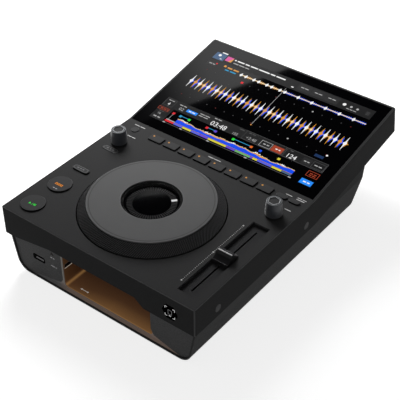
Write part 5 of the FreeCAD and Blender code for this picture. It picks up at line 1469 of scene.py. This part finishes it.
@dataclass
class JogDial:
    """The jog's ribs, rim, tick ring and marker."""

    finishes: Finishes
    repeat: Repeat
    ribs: int = 204
    slant: float = 0.148
    foot: Point = (97.5, 0.5)
    head: Point = (85.9, 13.0)
    ticks: int = 60
    tick_rise: float = 9.15
    marker_turn: float = 47.5

    def centre(self) -> Vector:
        """The jog's axis at the deck."""
        return LAYOUT.on_deck(0, LAYOUT.jog)

    def build(self) -> None:
        """Makes all the jog's pieces."""
        self.ribbed_skirt()
        self.rim()
        self.tick_ring()

    def ribbed_skirt(self) -> None:
        """Fine ribs round the sloped skirt, drawn lighter than the ring between them: a painted highlight."""
        sections = []
        out = (0.74 * 0.62, 0.67 * 0.62)
        for share in (0.02, 0.26, 0.5, 0.74, 0.98):
            radius, rise = (low + (high - low) * share for low, high in zip(self.foot, self.head))
            half = math.pi * radius / self.ribs * 0.55
            turn = Matrix.Rotation(self.slant * share, 3, "Z")
            section = ((radius - 0.1, -half, rise - 0.1), (radius + out[0], -half * 0.35, rise + out[1]),
                       (radius + out[0], half * 0.35, rise + out[1]), (radius - 0.1, half, rise - 0.1))
            sections.append([turn @ Vector(corner) * MM for corner in section])
        seed = loft("rib", sections, (True, True))
        pitch = 2 * math.pi / self.ribs
        mesh = self.repeat.mesh(seed, self.ribs, self.finishes["rib_rubber_highlight"], pitch, at=self.centre())
        mesh.name = "jog_ribs"
        new_piece("jog_ribs", mesh, Body.JOG.value)

    def rim(self) -> None:
        """A dark ring as painted shade in the groove, and light rings as painted highlights on the plate's
        outside and inside edges.
        """
        for name, finish, outline in (
            ("jog_rim", "jog_rim_highlight", [(84.2, 15.05), (84.7, 15.1), (85.3, 14.5), (85.32, 14.0)]),
            ("jog_groove", "groove_shade", [(81.1, 15.04), (82.2, 15.04)]),
            ("jog_inner_edge", "jog_rim_highlight", [(40.25, 14.5), (40.5, 15.06), (41.2, 15.06)]),
        ):
            mesh = loft(name, rings_at(self.centre(), outline, 144))
            if mesh.polygons[0].normal.z < 0:
                mesh.flip_normals()
            for face in mesh.polygons:
                face.use_smooth = True
            mesh.materials.append(self.finishes[finish])
            new_piece(name, mesh, Body.JOG.value)

    def tick_ring(self) -> None:
        """Ticks on the small round display, one of them lit."""
        half, low = 1.15, self.tick_rise
        corners = ((25.4, -half * 0.8), (33.0, -half), (33.0, half), (25.4, half * 0.8))
        seed = bpy.data.meshes.new("tick")
        seed.from_pydata([Vector((x, y, low)) * MM for x, y in corners], [], [(0, 1, 2, 3)])
        pitch = 2 * math.pi / self.ticks
        mesh = self.repeat.mesh(seed, self.ticks, self.finishes["tick_dim"], pitch, at=self.centre())
        mesh.name = "jog_ticks"
        new_piece("jog_ticks", mesh, Body.HOUSING.value)

        def on_display(x: float, y: float, rise: float) -> Vector:
            """A point on the display.

            Args:
                x: its place outwards along the marker.
                y: its place beside it.
                rise: its height above the display.

            Returns:
                The point.
            """
            turn = math.radians(self.marker_turn)
            ahead = Vector((math.cos(turn), math.sin(turn), 0))
            side = Vector((-math.sin(turn), math.cos(turn), 0))
            return self.centre() + (ahead * x + side * y) * MM + Vector((0, 0, (low + rise) * MM))

        art = FlatArt("jog_marker", on_display, self.finishes)
        art.bar(25.6, 33.2, -1.9, 1.9, "marker_white")
        art.build(Body.HOUSING.value, "screen_panel")


@dataclass
class DeckControls:
    """Marks on the buttons, prints round them, and the knobs' crowns."""

    finishes: Finishes

    def build(self) -> None:
        """Makes all the marks and crowns."""
        self.play_mark()
        self.cue_mark()
        self.pill_marks()
        self.cue_lamps()
        self.prints()
        self.crown("left", LAYOUT.left_column, Body.LEFT_DIAL)
        self.crown("right", LAYOUT.right_column, Body.RIGHT_DIAL)

    def play_mark(self) -> None:
        """A lit green triangle, a slanted stroke and two bars."""
        art = FlatArt("play_mark", LAYOUT.on_cap(LAYOUT.left_column, 29.0, LAYOUT.key_rise), self.finishes)
        art.shape([(-3.9, -4.9), (-0.6, -3.0), (-3.9, -1.1)], "mark_green")
        art.shape([(0.4, -4.6), (1.0, -4.6), (2.4, -0.8), (1.8, -0.8)], "mark_green")
        for x in (3.6, 5.8):
            art.bar(x, x + 1.3, -4.2, -0.6, "mark_green")
        art.build("play_button_key", "key_black")

    def cue_mark(self) -> None:
        """Three lit orange squares, and two small dashes under them."""
        art = FlatArt("cue_mark", LAYOUT.on_cap(LAYOUT.left_column, 79.8, LAYOUT.key_rise), self.finishes)
        for x in (-5.6, -1.3, 3.0):
            art.frame(x, x + 3.5, -4.4, -0.6, 0.95, "mark_orange")
        art.words(-1.9, -12.2, [2.8, 3.2], 1.5, "print_grey")
        art.build("cue_button_key", "key_black")

    def pill_marks(self) -> None:
        """Plain dashes and an outline on the two pill buttons."""
        for name, y, top in (("loop_button", 121.0, LAYOUT.key_rise), ("sync_button", 181.5, 0.6)):
            art = FlatArt(name + "_mark", LAYOUT.on_cap(LAYOUT.left_column, y, top), self.finishes)
            art.words(-6.8, -1.1, [3.6, 2.4, 2.8], 2.2, "print_dim")
            art.band(pill(12.0, 3.9), pill(11.3, 3.2), "print_dim")
            art.build(name + "_key", "key_grey")

    def cue_lamps(self) -> None:
        """A small amber lamp on each hot cue."""
        for step in range(8):
            surface = LAYOUT.on_cap((step - 3.5) * 26.7, LAYOUT.row, LAYOUT.key_rise)
            art = FlatArt("hot_cue_lamp_%d" % (step + 1), surface, self.finishes)
            art.disc(-6.2, 2.5, 1.35, "mark_amber", 0.0, 16)
            art.build("hot_cue_%d_key" % (step + 1), "pad_grey")

    def prints(self) -> None:
        """Short dashes where the deck's lettering would be."""
        art = FlatArt("deck_prints", LAYOUT.on_deck, self.finishes)
        for x, y, lengths in (
            (-142.6, 248.4, [9.0, 8.4]), (-133.5, 221.3, [7.0, 5.8]), (-11.4, 250.4, [9.0, 11.2]),
            (121.0, 246.0, [10.0]), (138.0, 248.2, [7.0, 5.5]), (138.6, 244.8, [12.0]), (137.0, 219.0, [9.6]),
        ):
            art.words(x, y, lengths, 1.3, "print_light")
        art.build(Body.HOUSING.value, "deck_grey")

    def crown(self, name: str, x: float, body: Body) -> None:
        """A rim round a six-sided dish on a knob's top, its outer and inner edges drawn light as a painted
        highlight, and a dark foot round its skirt.

        Args:
            name: the knob's side of the deck.
            x: its place across.
            body: the dial that it rides on.
        """
        centre = LAYOUT.on_deck(x, LAYOUT.dial)
        sides, floor_rise = 96, 23.0
        rings = rings_at(centre, [(10.46, 22.9), (10.15, 23.7), (9.85, 24.05)], sides)
        inner = []
        for step in range(sides):
            turn = 2 * math.pi * step / sides
            part = (turn + math.radians(8)) % (math.pi / 3) - math.pi / 6
            hexagon = 8.5 * math.cos(math.pi / 6) / math.cos(part)
            reach = hexagon * 0.92 + 8.0 * 0.08
            inner.append((reach * math.cos(turn), reach * math.sin(turn)))
        for share, rise in ((1.0, 24.06), (0.92, 24.06), (0.86, floor_rise)):
            rings.append([centre + Vector((u * share, v * share, rise)) * MM for u, v in inner])
        mesh = loft(name + "_knob_rim_highlight", rings)
        for face in mesh.polygons:
            face.use_smooth = True
        mesh.materials.append(self.finishes["knob_rim_highlight"])
        mesh.materials.append(self.finishes["knob_band"])
        # Rows 1 and 3, the outer and inner chamfers, take the painted highlight.
        for face in mesh.polygons:
            face.material_index = (1, 0, 1, 0, 1)[face.index // sides]
        new_piece(name + "_knob_rim_highlight", mesh, body.value)
        outline = [(11.42, 0.95), (11.46, 1.2), (11.4, 3.4), (11.2, 3.5)]
        foot = loft(name + "_knob_foot", rings_at(centre, outline, sides))
        foot.materials.append(self.finishes["inner_black"])
        new_piece(name + "_knob_foot", foot, body.value)
        dish = [[centre + Vector((u * 0.87, v * 0.87, floor_rise)) * MM for u, v in inner],
                *rings_at(centre, [(0.5, floor_rise)], sides)]
        floor = loft(name + "_knob_dish", dish, (False, True))
        floor.materials.append(self.finishes["key_satin"])
        new_piece(name + "_knob_dish", floor, body.value)


@dataclass
class TempoSlider:
    """The slider's dotted scale, and its cap's line and ridges."""

    finishes: Finishes
    repeat: Repeat
    column: float = 114.7
    near_end: float = 32.8
    reach: float = 126.5
    dots: int = 43
    middle: float = 95.6
    ridge_half: float = 11.1

    def build(self) -> None:
        """Makes the scale and the cap's details."""
        self.scale()
        self.cap()

    def scale(self) -> None:
        """Small dots along the trough, larger at its ends and middle."""
        seed = bpy.data.meshes.new("dot")
        seed.from_pydata(ring_of(0.55, 0.0, 8), [], [tuple(range(8))])
        start = LAYOUT.on_deck(self.column, self.near_end, 0.06)
        step = Vector((0, self.reach / (self.dots - 1) * MM, 0))
        mesh = self.repeat.mesh(seed, self.dots, self.finishes["print_light"], step=step, at=start)
        new_piece("scale_dots", mesh, Body.HOUSING.value)
        art = FlatArt("scale_marks", LAYOUT.on_deck, self.finishes)
        for y in (self.near_end, 96.0, self.near_end + self.reach):
            art.disc(self.column, y, 1.15, "print_light", 0.01)
        art.build(Body.HOUSING.value, "deck_grey")

    def cap(self) -> None:
        """A white line on the cap's top, and fine ridges beside it and at the foot of both slopes."""
        centre = LAYOUT.on_deck(LAYOUT.right_column, self.middle)
        surface = LAYOUT.on_cap(LAYOUT.right_column, self.middle, 10.5)
        art = FlatArt("slider_line", surface, self.finishes)
        art.bar(-10.4, 10.4, -0.8, 0.8, "print_light")
        art.build(Body.TEMPO.value, "cap_black")
        half = self.ridge_half
        build = bmesh.new()
        for y, z in [(side * y, z) for side in (-1, 1) for y, z in ((1.5, 10.42), (2.3, 10.35), (11.25, 2.25))]:
            section = [(y - 0.2, z - 0.5), (y + 0.2, z - 0.5), (y + 0.12, z + 0.14), (y - 0.12, z + 0.14)]
            ends = [[build.verts.new(centre + Vector((x, a, b)) * MM) for a, b in section]
                    for x in (-half, half)]
            for step in range(4):
                after = (step + 1) % 4
                build.faces.new((ends[0][step], ends[0][after], ends[1][after], ends[1][step]))
            build.faces.new(ends[0][::-1])
            build.faces.new(ends[1])
        bmesh.ops.recalc_face_normals(build, faces=build.faces)
        mesh = bpy.data.meshes.new("slider_ridges")
        build.to_mesh(mesh)
        build.free()
        mesh.materials.append(self.finishes["slider_ridge"])
        new_piece("slider_ridges", mesh, Body.TEMPO.value)


@dataclass
class Sockets:
    """Rims, contacts and the blade in the side and the front socket."""

    finishes: Finishes
    repeat: Repeat

    def build(self) -> None:
        """Makes both sockets' details."""
        self.side_socket()
        self.front_socket()

    def side_socket(self) -> None:
        """A rim round the mouth that glows, with a painted highlight on its lower edge and a dimmer painted
        glow on its top and sides, and four contacts.
        """
        low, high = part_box("usb_a_socket")
        x = high[0]
        y = (low[1] + high[1]) / 2
        z = (low[2] + high[2]) / 2

        def on_mouth(u: float, v: float, rise: float) -> Vector:
            """A point on the socket's mouth."""
            return Vector((x + rise * MM, y + u * MM, z + v * MM))

        art = FlatArt("usb_socket_frame", on_mouth, self.finishes, 0.05)
        # Painted light round the mouth: a dim glow on the top and sides, a bright highlight on the lower edge.
        art.bar(-7.6, 7.6, 3.1, 3.9, "socket_lip_dim_glow")
        art.bar(-7.6, -6.8, -3.0, 3.1, "socket_lip_dim_glow")
        art.bar(6.8, 7.6, -3.0, 3.1, "socket_lip_dim_glow")
        art.bar(-7.6, 7.6, -3.9, -3.0, "socket_lip_highlight")
        art.build(Body.HOUSING.value, "socket_steel")
        seed = bpy.data.meshes.new("contact")
        points = [(0, 0, 0), (0, 1.0, 0), (7.5, 1.0, 0), (7.5, 0, 0)]
        seed.from_pydata([Vector(point) * MM for point in points], [], [(0, 1, 2, 3)])
        start = Vector((x - 12.5 * MM, y - 4.0 * MM, z + 0.55 * MM))
        mesh = self.repeat.mesh(seed, 4, self.finishes["gold_plating"], step=Vector((0, 2.3 * MM, 0)), at=start)
        new_piece("usb_contacts", mesh, Body.HOUSING.value)

    def front_socket(self) -> None:
        """A blade on the mouth's floor, drawn glowing as a painted highlight, and a black rim with cut corners.
        """
        low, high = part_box("front_port_socket")
        middle = Vector(((low[0] + high[0]) / 2, low[1], (low[2] + high[2]) / 2))

        def on_mouth_floor(u: float, v: float, rise: float) -> Vector:
            """A point on the mouth's floor, v inwards."""
            return middle + Vector((u, v, rise - 2.76)) * MM

        def on_mouth(u: float, v: float, rise: float) -> Vector:
            """A point on the mouth, v upwards."""
            return middle + Vector((u, -rise, v)) * MM

        # The blade glows though it is no lamp: painted light.
        art = FlatArt("front_port_blade", on_mouth_floor, self.finishes)
        art.bar(-7.6, 7.0, 1.1, 3.0, "port_blade_glow")
        art.build(Body.HOUSING.value, "socket_steel")
        rim = FlatArt("front_port_rim", on_mouth, self.finishes)
        rim.band(cut_corners(10.9, 4.7, 2.0), cut_corners(9.0, 2.8, 1.0), "icon_gloss")
        rim.build(Body.HOUSING.value, "socket_steel")


def main() -> None:
    """Loads the frame, dresses it and adds every piece."""
    logging.basicConfig(level=logging.INFO, format="%(message)s")
    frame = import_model()
    finishes = Finishes()
    repeat = Repeat()
    Studio().build()
    housing = Housing(frame, finishes)
    housing.dress()
    housing.build()
    Screen(finishes).build()
    JogDial(finishes, repeat).build()
    DeckControls(finishes).build()
    TempoSlider(finishes, repeat).build()
    Sockets(finishes, repeat).build()
    log.info("pieces are done")


if __name__ == "__main__":
    main()
